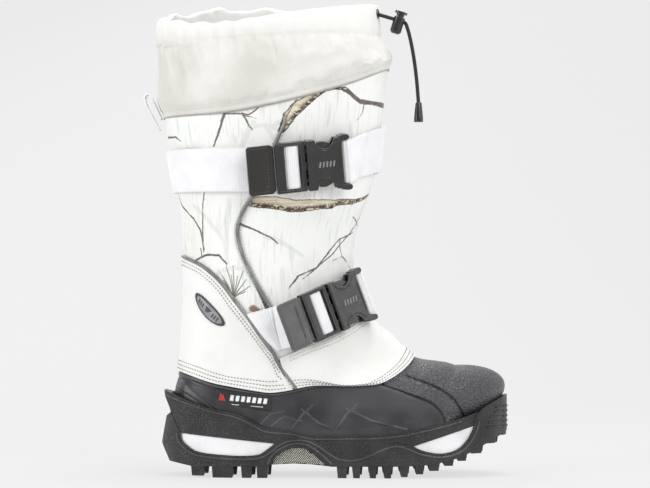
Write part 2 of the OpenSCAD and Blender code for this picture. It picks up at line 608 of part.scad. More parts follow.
module midsole() color("#3d3d41")
    difference() {
        intersection() {
            plan_block(-0.5, 90);
            side_slab(concat(HEEL_COUNTER, [[5, 31]] * size_k, WAVE, [for (i = [0:7]) BUMPER[i]], BAND_TOP,
                [[-95.5, 72], [-91, 62]] * size_k));
        }
        sole_cavity();
    }

module heel_wedge() color("#f6f4ef")
    difference() {
        intersection() {
            plan_block(-1.4, 60);
            side_slab(HEEL_SCOOP);
        }
        sole_cavity();
    }

module forefoot_wedge() color("#f6f4ef")
    difference() {
        intersection() {
            plan_block(-1.4, 60);
            side_slab(FORE_SCOOP);
        }
        sole_cavity();
    }

module arch_bridge() color("#b9b6a6")
    intersection() {
        plan_block(-2, 60);
        side_slab(concat(ARCH, [[38.4, 12.2], [21.7, 13]] * size_k));
    }

module shank() color("#9a9ca0")
    translate([-40, -9, cavity_floor - shank_t - 0.1]) cube([100, 18, shank_t]);

// ---- side-release buckles --------------------------------------------------------------------
// Local frame: x forward along the strap, y up across it, z outward.
// Each place is [section, angle, offset, lift at the front, turn towards the front], the last two in degrees.
body_from = -8;
body_to = 24;
bar_x = 28.4;
pivot_x = -7.6;
pivot_y = 13;
prong_t = 5;
prong_z = 2.9;
upper_at = [4.6, 110, 4.2, 4.5, 0];
lower_at = [8.7, 132, 5.4, 20, 5];

module at_buckle(at) at_skin(at[0], at[1], at[2], at[3]) rotate([0, at[4], 0]) children();

// Line thickened by t in the x-z plane, as an outline
function thick(path, t) =
    let (m = len(path) - 1,
         side = [for (i = [0:m])
             let (d = unit(path[min(i + 1, m)] - path[max(i - 1, 0)])) [-d[1], d[0]] * t / 2])
    concat([for (i = [0:m]) path[i] + side[i]], [for (i = [m:-1:0]) path[i] - side[i]]);
module across(w) rotate([90, 0, 0]) linear_extrude(w, center = true) children();

module buckle_body() {
    plate = buckle_t;
    difference() {
        union() {
            translate([body_from, -buckle_w / 2, 0]) cube([body_to - body_from, buckle_w, plate]);
            for (s = [-1, 1]) translate([0, s * (buckle_w / 2 - 2.6), 0]) horn(s, plate);
            translate([bar_x, 0, plate / 2]) rotate([90, 0, 0])
                cylinder(h = buckle_w - 2, r = 1.7, center = true);
        }
        translate([body_from - 1, -18.6, 2.2]) cube([body_to - body_from - 2, 37.2, plate - 4.2]);
        for (s = [-1, 1]) {
            translate([8.6, s * (buckle_w / 2 + 1.2), -1]) cylinder(h = plate + 2, r = 9);
            translate([2.2, s > 0 ? 13 : -24, 2.2]) cube([18, 11, plate - 4.2]);
        }
    }
}

// Curved horn at the front corner: a ring quarter with a rounded tip
module horn(s, h)
    difference() {
        union() {
            translate([body_to - 9, -3, 0]) cube([9, 6, h]);
            translate([body_to - 2, s * 2.6 - 2.6, 0]) cube([7.6, 5.2, h]);
            translate([body_to + 5.2, s * 2.6, 0]) cylinder(h = h, r = 2.6);
        }
        translate([body_to - 1.5, s * 12, -1]) cylinder(h = h + 2, r = 7.6);
    }

module buckle_latch() {
    difference() {
        translate([-36.4, -buckle_w / 2, 0.2]) cube([26.6, buckle_w, 8]);
        translate([-28.5, -strap_w / 2 - 0.4, -1]) cube([15, strap_w + 0.8, 12]);
        translate([-37.4, -strap_w / 2 - 0.4, -1]) cube([12.4, strap_w + 0.8, 4.9]);
    }
    translate([-21, 0, 4.4]) rotate([90, 0, 0]) cylinder(h = strap_w + 2, r = 1.5, center = true);
    translate([-10, -3.5, prong_z]) cube([28, 7, prong_t]);
}

// Spring prong on side s: round root, arm and barbed head
module prong(s) {
    translate([pivot_x, s * pivot_y, prong_z]) cylinder(h = prong_t, r = 1.8);
    translate([pivot_x, s * pivot_y - 1.3, prong_z]) cube([12, 2.6, prong_t]);
    translate([0, 0, prong_z]) linear_extrude(prong_t)
        polygon([for (q = [[2.6, 11.7], [2.6, 20.2], [8, 20.6], [13, 18.6], [16.5, 14.2], [16.5, 11.7]])
            [q[0], s * q[1]]]);
}

// Webbing that runs under the latch, round its middle bar and back to the pull tab
module strap_tail() {
    wrap = [for (a = [-90:22.5:140]) [-21 + 2.45 * cos(a), 4.4 + 2.45 * sin(a)]];
    path = concat([[-44, 1.05], [-27, 1.05], [-23.5, 1.45]], wrap,
        [[-25.6, 3.4], [-28.5, 2.85], [-36.2, 2.85]]);
    across(strap_w) polygon(thick(path, 1.4));
}

tab_x = -37;
module strap_tab()
    difference() {
        union() {
            translate([tab_x - tab_l, 0, 2.1]) linear_extrude(2.8) offset(r = 3) offset(delta = -3)
                translate([0, -22]) square([tab_l - 1.2, 44]);
            translate([tab_x - 1.2, 0, 2.85]) rotate([90, 0, 0]) cylinder(h = 40, r = 1.1, center = true);
        }
        translate([tab_x - 9, -15, 4.3]) cube([1.2, 30, 2]);
    }

// Strap on the form: sections of [top outer, bottom outer, bottom inner, top inner]
function strap_edge(phi, line, dz, o) = skin(below(mirrored(phi), line, 2.5, 12, dz), phi, o);
function strap_section(phi, line, half, rise = 0) = [
    strap_edge(phi, line, half, strap_out + rise), strap_edge(phi, line, -half, strap_out + rise),
    strap_edge(phi, line, -half, strap_in + rise), strap_edge(phi, line, half, strap_in + rise)];
// Section of a strap in a buckle's local frame, centred on [x, z] and facing along [dx, dz]
function local_section(at, x, z, dx, dz) =
    let (n = outward(at[0], at[1]), aim = [cos(at[3]), 0, sin(at[3])], ux = unit(aim - n * (aim * n)),
         uy = cross(n, ux), p = skin(at[0], at[1], at[2]), h = strap_w / 2, e = webbing_wall / 2,
         vx = ux * cos(at[4]) - n * sin(at[4]), vn = n * cos(at[4]) + ux * sin(at[4]))
    [for (c = [[1, 1], [-1, 1], [-1, -1], [1, -1]])
        p + vx * (x - dz * e * c[1]) + uy * h * c[0] + vn * (z + dx * e * c[1])];
function wrap_section(at, a) =
    local_section(at, bar_x + 2.6 * cos(a), buckle_t / 2 + 2.6 * sin(a), sin(a), -cos(a));

module front_strap(at, line, half, from)
    loft(concat([local_section(at, bar_x + 7, 1.7, -1, 0)],
        [for (a = [-90:-30:-270]) wrap_section(at, a)],
        [local_section(at, bar_x + 5, buckle_t / 2 + 2, 1, -0.2)],
        [for (a = ramp(from, 270, 20)) strap_section(a, line, half)]));

module rear_strap(at, line, half, from, to)
    loft(concat([for (a = ramp(from, to, 26)) strap_section(a, line, half)],
        [local_section(at, -44.6, 1.05, 1, 0)]));

upper_half = strap_w / 2;
lower_half = strap_w / 2 / cos(20);

module upper_strap_rear() color("#f2f2f6") rear_strap(upper_at, UPPER_LINE, upper_half, -89.5, 88);
module upper_strap_front() color("#f2f2f6") front_strap(upper_at, UPPER_LINE, upper_half, 144);
module upper_strap_tail() color("#f2f2f6") at_buckle(upper_at) strap_tail();
module upper_strap_tab() color("#3a3334") at_buckle(upper_at) strap_tab();
module upper_buckle_body() color("#4a4a4c") at_buckle(upper_at) buckle_body();
module upper_buckle_latch() color("#3c3c3e") at_buckle(upper_at) buckle_latch();
module upper_prong_top() color("#48484a") at_buckle(upper_at) prong(1);
module upper_prong_bottom() color("#48484a") at_buckle(upper_at) prong(-1);

module lower_strap_rear() color("#f2f2f6") rear_strap(lower_at, LOWER_LINE, lower_half, 78, 92);
module lower_strap_front() color("#f2f2f6") front_strap(lower_at, LOWER_LINE, lower_half, 170);
module lower_strap_tail() color("#f2f2f6") at_buckle(lower_at) strap_tail();
module lower_strap_tab() color("#5a5a5c") at_buckle(lower_at) strap_tab();
module lower_buckle_body() color("#4a4a4c") at_buckle(lower_at) buckle_body();
module lower_buckle_latch() color("#3c3c3e") at_buckle(lower_at) buckle_latch();
module lower_prong_top() color("#48484a") at_buckle(lower_at) prong(1);
module lower_prong_bottom() color("#48484a") at_buckle(lower_at) prong(-1);

rubber_shell();
outsole();
midsole();
heel_wedge();
forefoot_wedge();
arch_bridge();
shank();
heel_quarter();
vamp();
shaft_rear_panel();
shaft_front_panel();
quarter_piping();
shaft_piping();
shaft_foam();
shaft_lining();
snow_collar();
drawcord();
drawcord_eyelet();
lock_barrel();
lock_plunger();
lock_spring();
cord_bell();
pull_loop();
side_badge();
side_label();
inner_boot();
insole();
upper_strap_rear();
upper_strap_front();
upper_strap_tail();
upper_strap_tab();
upper_buckle_body();
upper_buckle_latch();
upper_prong_top();
upper_prong_bottom();
lower_strap_rear();
lower_strap_front();
lower_strap_tail();
lower_strap_tab();
lower_buckle_body();
lower_buckle_latch();
lower_prong_top();
lower_prong_bottom();
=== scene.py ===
"""Looks of an insulated winter boot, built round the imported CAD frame; toe at +X, outer side at -Y."""
import json
import math

import bmesh
import bpy
import numpy as np
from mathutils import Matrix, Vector
from mathutils.bvhtree import BVHTree

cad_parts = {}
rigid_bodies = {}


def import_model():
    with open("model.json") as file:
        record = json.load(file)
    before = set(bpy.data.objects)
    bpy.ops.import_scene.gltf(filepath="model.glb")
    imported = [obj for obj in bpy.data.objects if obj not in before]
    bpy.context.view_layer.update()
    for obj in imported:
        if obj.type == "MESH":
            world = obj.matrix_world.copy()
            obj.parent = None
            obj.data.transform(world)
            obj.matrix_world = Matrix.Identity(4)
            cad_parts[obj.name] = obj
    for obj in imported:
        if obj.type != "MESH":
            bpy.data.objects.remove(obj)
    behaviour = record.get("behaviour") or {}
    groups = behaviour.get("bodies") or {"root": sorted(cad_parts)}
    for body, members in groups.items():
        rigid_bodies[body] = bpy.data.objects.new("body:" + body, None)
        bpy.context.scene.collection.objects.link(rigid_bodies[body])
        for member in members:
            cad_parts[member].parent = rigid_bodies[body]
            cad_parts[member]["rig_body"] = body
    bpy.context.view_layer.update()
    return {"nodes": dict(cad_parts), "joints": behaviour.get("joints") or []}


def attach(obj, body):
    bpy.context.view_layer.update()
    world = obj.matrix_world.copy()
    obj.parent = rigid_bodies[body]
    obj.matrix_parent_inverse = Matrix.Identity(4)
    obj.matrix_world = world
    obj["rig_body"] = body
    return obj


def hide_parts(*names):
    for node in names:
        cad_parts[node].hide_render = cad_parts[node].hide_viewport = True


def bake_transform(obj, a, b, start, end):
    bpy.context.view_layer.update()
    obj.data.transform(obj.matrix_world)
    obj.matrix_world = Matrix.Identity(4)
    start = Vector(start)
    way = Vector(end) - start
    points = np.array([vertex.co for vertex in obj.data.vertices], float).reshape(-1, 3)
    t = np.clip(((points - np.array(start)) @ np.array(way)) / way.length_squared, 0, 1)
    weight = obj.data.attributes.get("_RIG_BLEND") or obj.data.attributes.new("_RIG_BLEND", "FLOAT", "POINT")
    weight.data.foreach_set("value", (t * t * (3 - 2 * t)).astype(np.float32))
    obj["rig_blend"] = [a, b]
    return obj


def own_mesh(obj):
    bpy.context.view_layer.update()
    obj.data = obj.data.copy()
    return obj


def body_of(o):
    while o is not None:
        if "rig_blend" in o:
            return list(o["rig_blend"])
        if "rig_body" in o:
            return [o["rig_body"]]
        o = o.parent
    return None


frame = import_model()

scene = bpy.context.scene
MM = 0.001

# ---- form of the foot and leg, as in the CAD (millimetres) ---------------------------------------
# [back x, back z, front x, front z, half width, centre y, upper exponent, lower exponent]
SECTIONS = np.array([
    [-101, 416, 98, 430, 73, 0, 2, 2],
    [-101.5, 394, 101, 401, 74, 0, 2, 2],
    [-100, 362, 108, 385, 75, 0, 2, 2],
    [-97, 328, 108, 368, 74, 0, 2.1, 2.1],
    [-90, 289, 102, 316, 69, 0, 2.1, 2.1],
    [-84.5, 258, 95, 270, 63, 0, 2.1, 2.1],
    [-80.5, 221, 81, 229, 57, 0, 2.1, 2.1],
    [-78.5, 197, 77, 200, 53, 0, 2.1, 2.1],
    [-78, 162, 78.5, 175, 50, 0, 2.1, 2.1],
    [-80, 129, 85.5, 152, 48, 0, 2.1, 2.1],
    [-82.5, 98, 96.5, 139, 46, 0, 2.1, 2.1],
    [-88, 72, 109, 129, 45, 0, 2.1, 2.2],
    [-84, 47, 120, 118, 44.5, 0, 2.2, 2.5],
    [-60, 37, 130, 109.5, 46, -1, 2.3, 3],
    [-10, 36, 140, 106, 49, -3, 2.4, 3.5],
    [40, 36, 152, 104.5, 53, -4, 2.4, 3.7],
    [92, 37, 162, 103, 56, -3, 2.3, 3.6],
    [136, 40, 170, 100.5, 54, 0, 2.2, 3.2]], float)
LAST = len(SECTIONS) - 1
TOE_REACH = np.array([61.0, 3.0])
TOE_SIDE = 7.0
TOE_END = LAST + 0.995
COLLAR_DIP = 5.0


def catmull(p0, p1, p2, p3, f):
    """Point at share f of the Catmull-Rom span from p1 to p2."""
    return (2 * p1 + (p2 - p0) * f + (2 * p0 - 5 * p1 + 4 * p2 - p3) * f ** 2
            + (3 * p1 - p0 - 3 * p2 + p3) * f ** 3) / 2


def section_at(t):
    i = np.clip(np.floor(t).astype(int), 0, LAST - 1)
    return catmull(SECTIONS[np.maximum(i - 1, 0)], SECTIONS[i], SECTIONS[i + 1],
                   SECTIONS[np.minimum(i + 2, LAST)], (t - i)[..., None])


def power(v, e):
    return np.sign(v) * np.abs(v) ** e


def skin(t, phi, o=0.0):
    """Point of the form on section t, at phi degrees from the back round the outer side, at offset o."""
    t, phi, o = np.broadcast_arrays(np.asarray(t, float), np.asarray(phi, float), np.asarray(o, float))
    q = section_at(np.minimum(t, LAST))
    back, front = q[..., 0:2], q[..., 2:4]
    reach = np.linalg.norm(front - back, axis=-1)
    along = (front - back) / reach[..., None]
    turn = np.radians(np.maximum(t - LAST, 0) * 90)
    s, k = np.sin(turn), np.cos(turn)
    a = np.radians(phi)
    centre = (back + front) / 2 + TOE_REACH * ((1 + o / np.linalg.norm(TOE_REACH)) * s)[..., None]
    side = q[..., 5] + (TOE_SIDE - q[..., 5]) * s
    e = 2 / np.where(np.cos(a) < 0, q[..., 6], q[..., 7])
    p = centre - along * ((reach / 2 + o) * k * power(np.cos(a), e))[..., None]
    dip = COLLAR_DIP * np.maximum(1 - t, 0) * np.sin(a) ** 2
    return np.stack([p[..., 0], side - (q[..., 4] + o) * k * power(np.sin(a), e), p[..., 1] - dip], -1)


def unit(v):
    return v / np.maximum(np.linalg.norm(v, axis=-1, keepdims=True), 1e-12)


def outward(t, phi):
    t, phi = np.asarray(t, float), np.asarray(phi, float)
    return unit(np.cross(skin(t + 0.05, phi) - skin(t - 0.05, phi), skin(t, phi + 1) - skin(t, phi - 1)))


def mirrored(phi):
    return np.where(np.asarray(phi) > 180, 360 - np.asarray(phi, float), np.abs(phi))


def smooth(pts, n=4):
    """Catmull-Rom line through points, n pieces a span."""
    p = np.asarray(pts, float)
    ends = np.vstack([p[:1], p, p[-1:]])
    out = [catmull(*ends[i:i + 4], f) for i in range(len(p) - 1) for f in np.arange(n) / n]
    return np.array(out + [p[-1]])


def below(phi, curve, lo, hi, dz=0.0):
    """Section at which the form passes below a side-view curve z(x), raised by dz."""
    phi, dz = np.broadcast_arrays(np.asarray(phi, float), np.asarray(dz, float))
    a, b = np.full(phi.shape, float(lo)), np.full(phi.shape, float(hi))
    for _ in range(26):
        m = (a + b) / 2
        p = skin(m, phi)
        over = p[..., 2] > np.interp(p[..., 0], curve[:, 0], curve[:, 1]) + dz
        a, b = np.where(over, m, a), np.where(over, b, m)
    return (a + b) / 2


COLLAR_SEAM = smooth([[-93, 325], [-35, 327], [21, 338], [74, 354], [110, 371]])
QUARTER_SEAM = smooth([[-79, 199], [-60, 190], [-44, 176], [-32, 160], [-20, 144], [-5, 122],
                       [7, 106], [16, 86], [22, 77], [45, 20]])
VAMP_SEAM = smooth([[-60, 80], [5, 106], [34, 118], [58, 127], [89, 146], [130, 172]])
RUBBER_EDGE = smooth([[-86, 97], [-69, 91.5], [-51, 85.5], [-28, 81], [-7, 77.5], [3, 76.5], [17, 78.5],
                      [41, 83], [73, 82.5], [93, 83.5], [104, 86.5], [117, 94], [126, 102], [132, 109]])
SHAFT_SEAM = smooth([[100, 28], [120, 21], [158, -1], [177, -12], [195, -21], [209, -26],
                     [225, -28], [240, -23], [253, -15], [273, -6], [304, 8], [330, 19], [350, 31]])
UPPER_LINE = smooth([[-92, 278], [0, 277.5], [31, 281], [70, 288], [104, 299]])
LOWER_LINE = smooth([[-20, 127], [9, 135.5], [54, 152.4], [80, 164], [95, 172]])

ANGLES = np.arange(0, 180.1, 2.5)


def seam(curve, lo, hi):
    table = below(ANGLES, curve, lo, hi)
    return lambda phi: np.interp(mirrored(phi), ANGLES, table)


collar_seam = seam(COLLAR_SEAM, 1.5, 6)
quarter_t = seam(QUARTER_SEAM, 5, TOE_END)


def collar_t(phi):
    """Top of the shaft's layers, hidden a little way up under the collar's lower edge."""
    return collar_seam(phi) - 0.13


vamp_t = seam(VAMP_SEAM, 5, TOE_END)
rubber_t = seam(RUBBER_EDGE, 7, TOE_END)


def shaft_seam(sections):
    """Angle at which each section meets the seam between the shaft's two panels."""
    lo, hi = np.full(sections.shape, 20.0), np.full(sections.shape, 150.0)
    for _ in range(24):
        mid = (lo + hi) / 2
        p = skin(sections, mid)
        behind = p[:, 0] < np.interp(p[:, 2], SHAFT_SEAM[:, 0], SHAFT_SEAM[:, 1])
        lo, hi = np.where(behind, mid, lo), np.where(behind, hi, mid)
    return (lo + hi) / 2


SEAM_T = np.arange(2.5, 10.51, 0.125)
SEAM_PHI = shaft_seam(SEAM_T)


def shaft_phi(t):
    return np.interp(t, SEAM_T, SEAM_PHI)


# angles at which the quarter runs out into the shell, and the vamp comes out from under the quarter
FINE = np.arange(30, 120, 0.1)
QUARTER_END = float(FINE[np.argmax(quarter_t(FINE) >= rubber_t(FINE))])
VAMP_FROM = float(FINE[np.argmax(vamp_t(FINE) <= quarter_t(FINE))])

# offsets of the layers from the form
LEATHER_IN, LEATHER_OUT = 0.5, 2.2
FABRIC = 1.0
FOAM_OUT, FOAM_IN = -2.3, -5.1
LINING_OUT, LINING_IN = -5.7, -6.6
PIPING_AT, PIPING_R = 1.45, 1.45
STRAP_IN, STRAP_OUT = 3.0, 4.6
RUBBER_WALL = 3.0
LINER_WALL = 7.0
LEG_DEGREE = 1.2        # width of one degree of the leg, for the print and the weaves
RIB_PITCH, THREAD_PITCH = 1.75, 1.15        # of the straps' webbing


# ---- mesh helpers --------------------------------------------------------------------------------
def new_piece(name, verts, faces, mat, body="boot", nodes=(), sharp=None, weld=0.0):
    """Mesh object in metres from millimetre points, riding on a CAD body."""
    mesh = bpy.data.meshes.new(name)
    mesh.from_pydata((np.asarray(verts, float) * MM).tolist(), [], [tuple(int(i) for i in f) for f in faces])
    bm = bmesh.new()
    bm.from_mesh(mesh)
    if weld:
        bmesh.ops.remove_doubles(bm, verts=bm.verts, dist=weld * MM)
    bmesh.ops.recalc_face_normals(bm, faces=bm.faces)
    for f in bm.faces:
        f.smooth = True
    bm.to_mesh(mesh)
    bm.free()
    if sharp:
        mesh.set_sharp_from_angle(angle=math.radians(sharp))
    obj = bpy.data.objects.new(name, mesh)
    scene.collection.objects.link(obj)
    finish_piece(obj, mat, body, nodes)
    return obj


def finish_piece(obj, mat, body, nodes=()):
    if mat:
        obj.data.materials.clear()
        obj.data.materials.append(mat)
    if body:
        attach(obj, body)
    if nodes:
        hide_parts(*nodes)


def grid_faces(n, m, wrap=False, closed=False, base=0):
    """Quads of an n by m grid of points; wrap joins the last column to the first, closed the rows."""
    i = np.arange(n if wrap else n - 1)
    j = np.arange(m if closed else m - 1)
    ii, jj = (a.ravel() for a in np.meshgrid(i, j, indexing="ij"))
    i2, j2 = (ii + 1) % n, (jj + 1) % m
    return (base + np.stack([ii * m + jj, i2 * m + jj, i2 * m + j2, ii * m + j2], -1)).tolist()


def vector_attribute(obj, name, *xyz):
    """Stores a vector on each vertex, for the materials; xyz are its three columns."""
    attr = obj.data.attributes.new(name, "FLOAT_VECTOR", "POINT")
    attr.data.foreach_set("vector", np.stack(xyz, -1).astype(np.float32).ravel())


def spread(a, b, n):
    return a + (b - a) * np.linspace(0, 1, n)


def sheet_profile(length, rows, o_in, o_out, edge, inner_rows):
    """Closed outline of a sheet as (f down the column, offset): rounded edges, outer face then inner face."""
    mid, half = (o_in + o_out) / 2, (o_out - o_in) / 2
    e = np.minimum(edge / length, 0.2)
    ramp_f = np.array([0, 0.08, 0.3, 0.62, 1.0])
    ramp_o = np.sqrt(np.clip(1 - (1 - ramp_f) ** 2, 0, 1))
    inner_f = spread(0, 1, rows - 8)[1:-1]
    f = [e * r for r in ramp_f] + [e + (1 - 2 * e) * r for r in inner_f] + [1 - e * r for r in ramp_f[::-1]]
    o = [*(mid + half * ramp_o), *np.full(len(inner_f), float(o_out)), *(mid + half * ramp_o[::-1])]
    outer = len(f)
    back = spread(1, 0, inner_rows)[1:-1]
    f += [np.full(e.shape, r) for r in back]
    o += [float(o_in)] * len(back)
    return np.stack(f, -1), np.broadcast_to(o, (len(e), len(o))), outer


def zip_cap(f, outer, base, flip):
    """Triangles that close the end of a sheet: its outer chain is joined to its inner chain by height."""
    a = list(range(outer))
    b = [0] + list(range(len(f) - 1, outer - 1, -1)) + [outer - 1]
    i = j = 0
    out = []
    while i < len(a) - 1 or j < len(b) - 1:
        step_a = j == len(b) - 1 or (i < len(a) - 1 and f[a[i + 1]] <= f[b[j + 1]])
        tri = [a[i], a[i + 1], b[j]] if step_a else [a[i], b[j + 1], b[j]]
        i, j = (i + 1, j) if step_a else (i, j + 1)
        if len(set(tri)) == 3:
            out.append([base + k for k in (tri[::-1] if flip else tri)])
    return out


def sheet(name, phi, top, low, o_in, o_out, rows, mat, nodes, slot, wrap=False,
          relief=None, edge=1.0, spots=None, inner_rows=14, body="boot"):
    """Sheet over columns of the form, from section top to section low, with rounded edges."""
    phi = np.asarray(phi, float)
    top, low = np.broadcast_to(top, phi.shape), np.broadcast_to(low, phi.shape)
    a, b = skin(top, phi), skin(low, phi)
    length = np.maximum(np.linalg.norm(a - b, axis=-1), 3)
    f, o, outer = sheet_profile(length, rows, o_in, o_out, edge, inner_rows)
    if spots is None:
        t = top[:, None] + (low - top)[:, None] * f
        ang = np.broadcast_to(phi[:, None], t.shape)
    else:
        t, ang = spots(f)
    if relief is not None:
        face = np.zeros(t.shape)
        face[:, :outer] = 1
        o = o + relief(skin(t, ang), t, ang) * face
    pts = skin(t, ang, o)
    n, m = t.shape
    faces = grid_faces(n, m, wrap, True)
    verts = pts.reshape(-1, 3)
    if not wrap:
        faces += zip_cap(f[0], outer, 0, True) + zip_cap(f[-1], outer, (n - 1) * m, False)
    obj = new_piece(name, verts, faces, mat, body, nodes)
    vector_attribute(obj, "leg", (ang.ravel() - 90) * LEG_DEGREE * MM, verts[:, 2] * MM, 0 * ang.ravel())
    return obj


def run_length(p):
    """Distance along a path at each of its points."""
    return np.concatenate([[0], np.cumsum(np.linalg.norm(np.diff(p, axis=0), axis=1))])


def columns_at(at, s, v):
    """Values v, known at distances s, read off at distances `at`, column by column."""
    return np.stack([np.interp(at, s, v[:, k]) for k in range(v.shape[1])], -1)


def resample(path, pitch, closed=False):
    """The same path with points about pitch apart."""
    p = np.asarray(path, float)
    if closed:
        p = np.vstack([p, p[:1]])
    s = run_length(p)
    out = columns_at(np.linspace(0, s[-1], max(2, int(round(s[-1] / pitch)) + 1)), s, p)
    return out[:-1] if closed else out


def turn_angles(n):
    """n even steps round a circle, in radians."""
    return np.arange(n) * 2 * math.pi / n


def tube_grid(path, radius, sides=12, closed=False):
    """Ring of points round each point of a path; radius may vary by (point, side)."""
    p = np.asarray(path, float)
    d = unit(np.roll(p, -1, 0) - np.roll(p, 1, 0) if closed else np.gradient(p, axis=0))
    ref = np.where(np.abs(d[:, 1:2]) > 0.9, [[1.0, 0, 0]], [[0, 1.0, 0]])
    s = unit(np.cross(d, ref))
    q = np.cross(d, s)
    a = turn_angles(sides)[None, :, None]
    r = radius if np.ndim(radius) else np.full((len(p), sides), float(radius))
    return p[:, None] + r[..., None] * (s[:, None] * np.cos(a) + q[:, None] * np.sin(a))


def rod_faces(n, m, base=0):
    """Faces of n rings of m points, closed with a flat face at both ends."""
    last = base + (n - 1) * m
    return grid_faces(n, m, False, True, base) + [list(range(base, base + m)), list(range(last, last + m))]


def tube(name, path, radius, mat, sides=12, closed=False, nodes=()):
    g = tube_grid(path, radius, sides, closed)
    n, m = g.shape[:2]
    faces = grid_faces(n, m, True, True) if closed else rod_faces(n, m)
    return new_piece(name, g.reshape(-1, 3), faces, mat, "boot", nodes)


def rods(name, stacks, mat, body="boot", sharp=None):
    """One piece of many small rods; each is a stack of rings, as an array (rings, points, 3)."""
    verts, faces = [], []
    for stack in stacks:
        n, m = stack.shape[:2]
        faces += rod_faces(n, m, len(verts))
        verts += stack.reshape(-1, 3).tolist()
    return new_piece(name, verts, faces, mat, body, sharp=sharp)


def braid(path, r, sides):
    """Radius of a braided cord: strands that cross in two directions."""
    pitch, depth, strands = 3.4, 0.12, 4
    s = run_length(np.asarray(path, float))[:, None] * 2 * math.pi / pitch
    a = turn_angles(sides)[None] * strands
    return r - depth + depth * np.maximum(np.sin(a + s), np.sin(a - s))


def stitches(name, rows, mat, length=2.0, r=0.4):
    """Sewn rows: each row is (points, normals) already spaced at the stitch pitch."""
    ring = 6
    # a stitch from end to end: [place along it, thickness]
    caps = np.array([[-0.5, 0.15], [-0.42, 0.75], [-0.15, 1.0], [0.15, 1.0], [0.42, 0.75], [0.5, 0.15]])
    along, thick = caps[:, :1, None], caps[:, 1:, None]
    a = turn_angles(ring)
    verts, faces, base = [], [], 0
    one = rod_faces(len(caps), ring)
    for pts, nrm in rows:
        mid = (pts[1:] + pts[:-1]) / 2
        d = unit(pts[1:] - pts[:-1])
        n = unit((nrm[1:] + nrm[:-1]) / 2)
        b = unit(np.cross(d, n))
        n = np.cross(b, d)
        for k in range(len(mid)):
            around = b[k] * np.cos(a)[:, None] + n[k] * np.sin(a)[:, None]
            loc = mid[k] + d[k] * along * length + around[None] * thick * r
            # the thread dips into the leather at both ends
            loc = loc - n[k] * r * 0.9 * (np.abs(along) * 2) ** 3
            verts.append(loc.reshape(-1, 3))
            faces += [[base + i for i in f] for f in one]
            base += ring * len(caps)
    return new_piece(name, np.vstack(verts), faces, mat)


def skin_row(t, phi, o, pitch=3.0):
    """A stitch row on the form: spaced points and their normals."""
    p = skin(t, phi, o)
    n = outward(t, phi)
    s = run_length(p)
    at = np.linspace(0, s[-1], max(2, int(s[-1] / pitch) + 1))
    return columns_at(at, s, p), columns_at(at, s, n)


def section_height(t, phi):
    """Millimetres down the form to the next section."""
    return np.maximum(np.linalg.norm(skin(t + 0.05, phi) - skin(t - 0.05, phi), axis=-1) / 0.1, 4)


def raised_by(t, phi, mm):
    """Section that lies mm millimetres further up the form than section t."""
    return t - mm / section_height(t, phi)


SMOOTH_BELOW, ROUND_ABOVE = math.radians(35), math.radians(32)     # edge angles on the CAD pieces


def cad_copy(name, node, mat, bevel=0.0, segments=3):
    """Piece made from a CAD node's own mesh, welded, with rounded edges."""
    src = frame["nodes"][node]
    mesh = src.data.copy()
    mesh.name = name
    bm = bmesh.new()
    bm.from_mesh(mesh)
    bmesh.ops.remove_doubles(bm, verts=bm.verts, dist=2e-5)
    bmesh.ops.dissolve_limit(bm, angle_limit=math.radians(0.6), verts=bm.verts, edges=bm.edges)
    for f in bm.faces:
        f.smooth = True
    bm.to_mesh(mesh)
    bm.free()
    mesh.set_sharp_from_angle(angle=SMOOTH_BELOW)
    obj = bpy.data.objects.new(name, mesh)
    scene.collection.objects.link(obj)
    if bevel:
        mod = obj.modifiers.new("edges", "BEVEL")
        mod.width = bevel * MM
        mod.segments = segments
        mod.limit_method = "ANGLE"
        mod.angle_limit = ROUND_ABOVE
        mod.harden_normals = True
        mod.use_clamp_overlap = True
    finish_piece(obj, mat, body_of(src)[0], [node])
    return obj


# ---- materials -----------------------------------------------------------------------------------
def lin(r, g, b):
    """Linear colour from screen values 0 to 255."""
    conv = lambda c: c / 12.92 if c <= 0.04045 else ((c + 0.055) / 1.055) ** 2.4
    return tuple(conv(v / 255) for v in (r, g, b)) + (1.0,)


def brighter(color, k):
    return tuple(min(1, c * k) for c in color[:3]) + (1,)


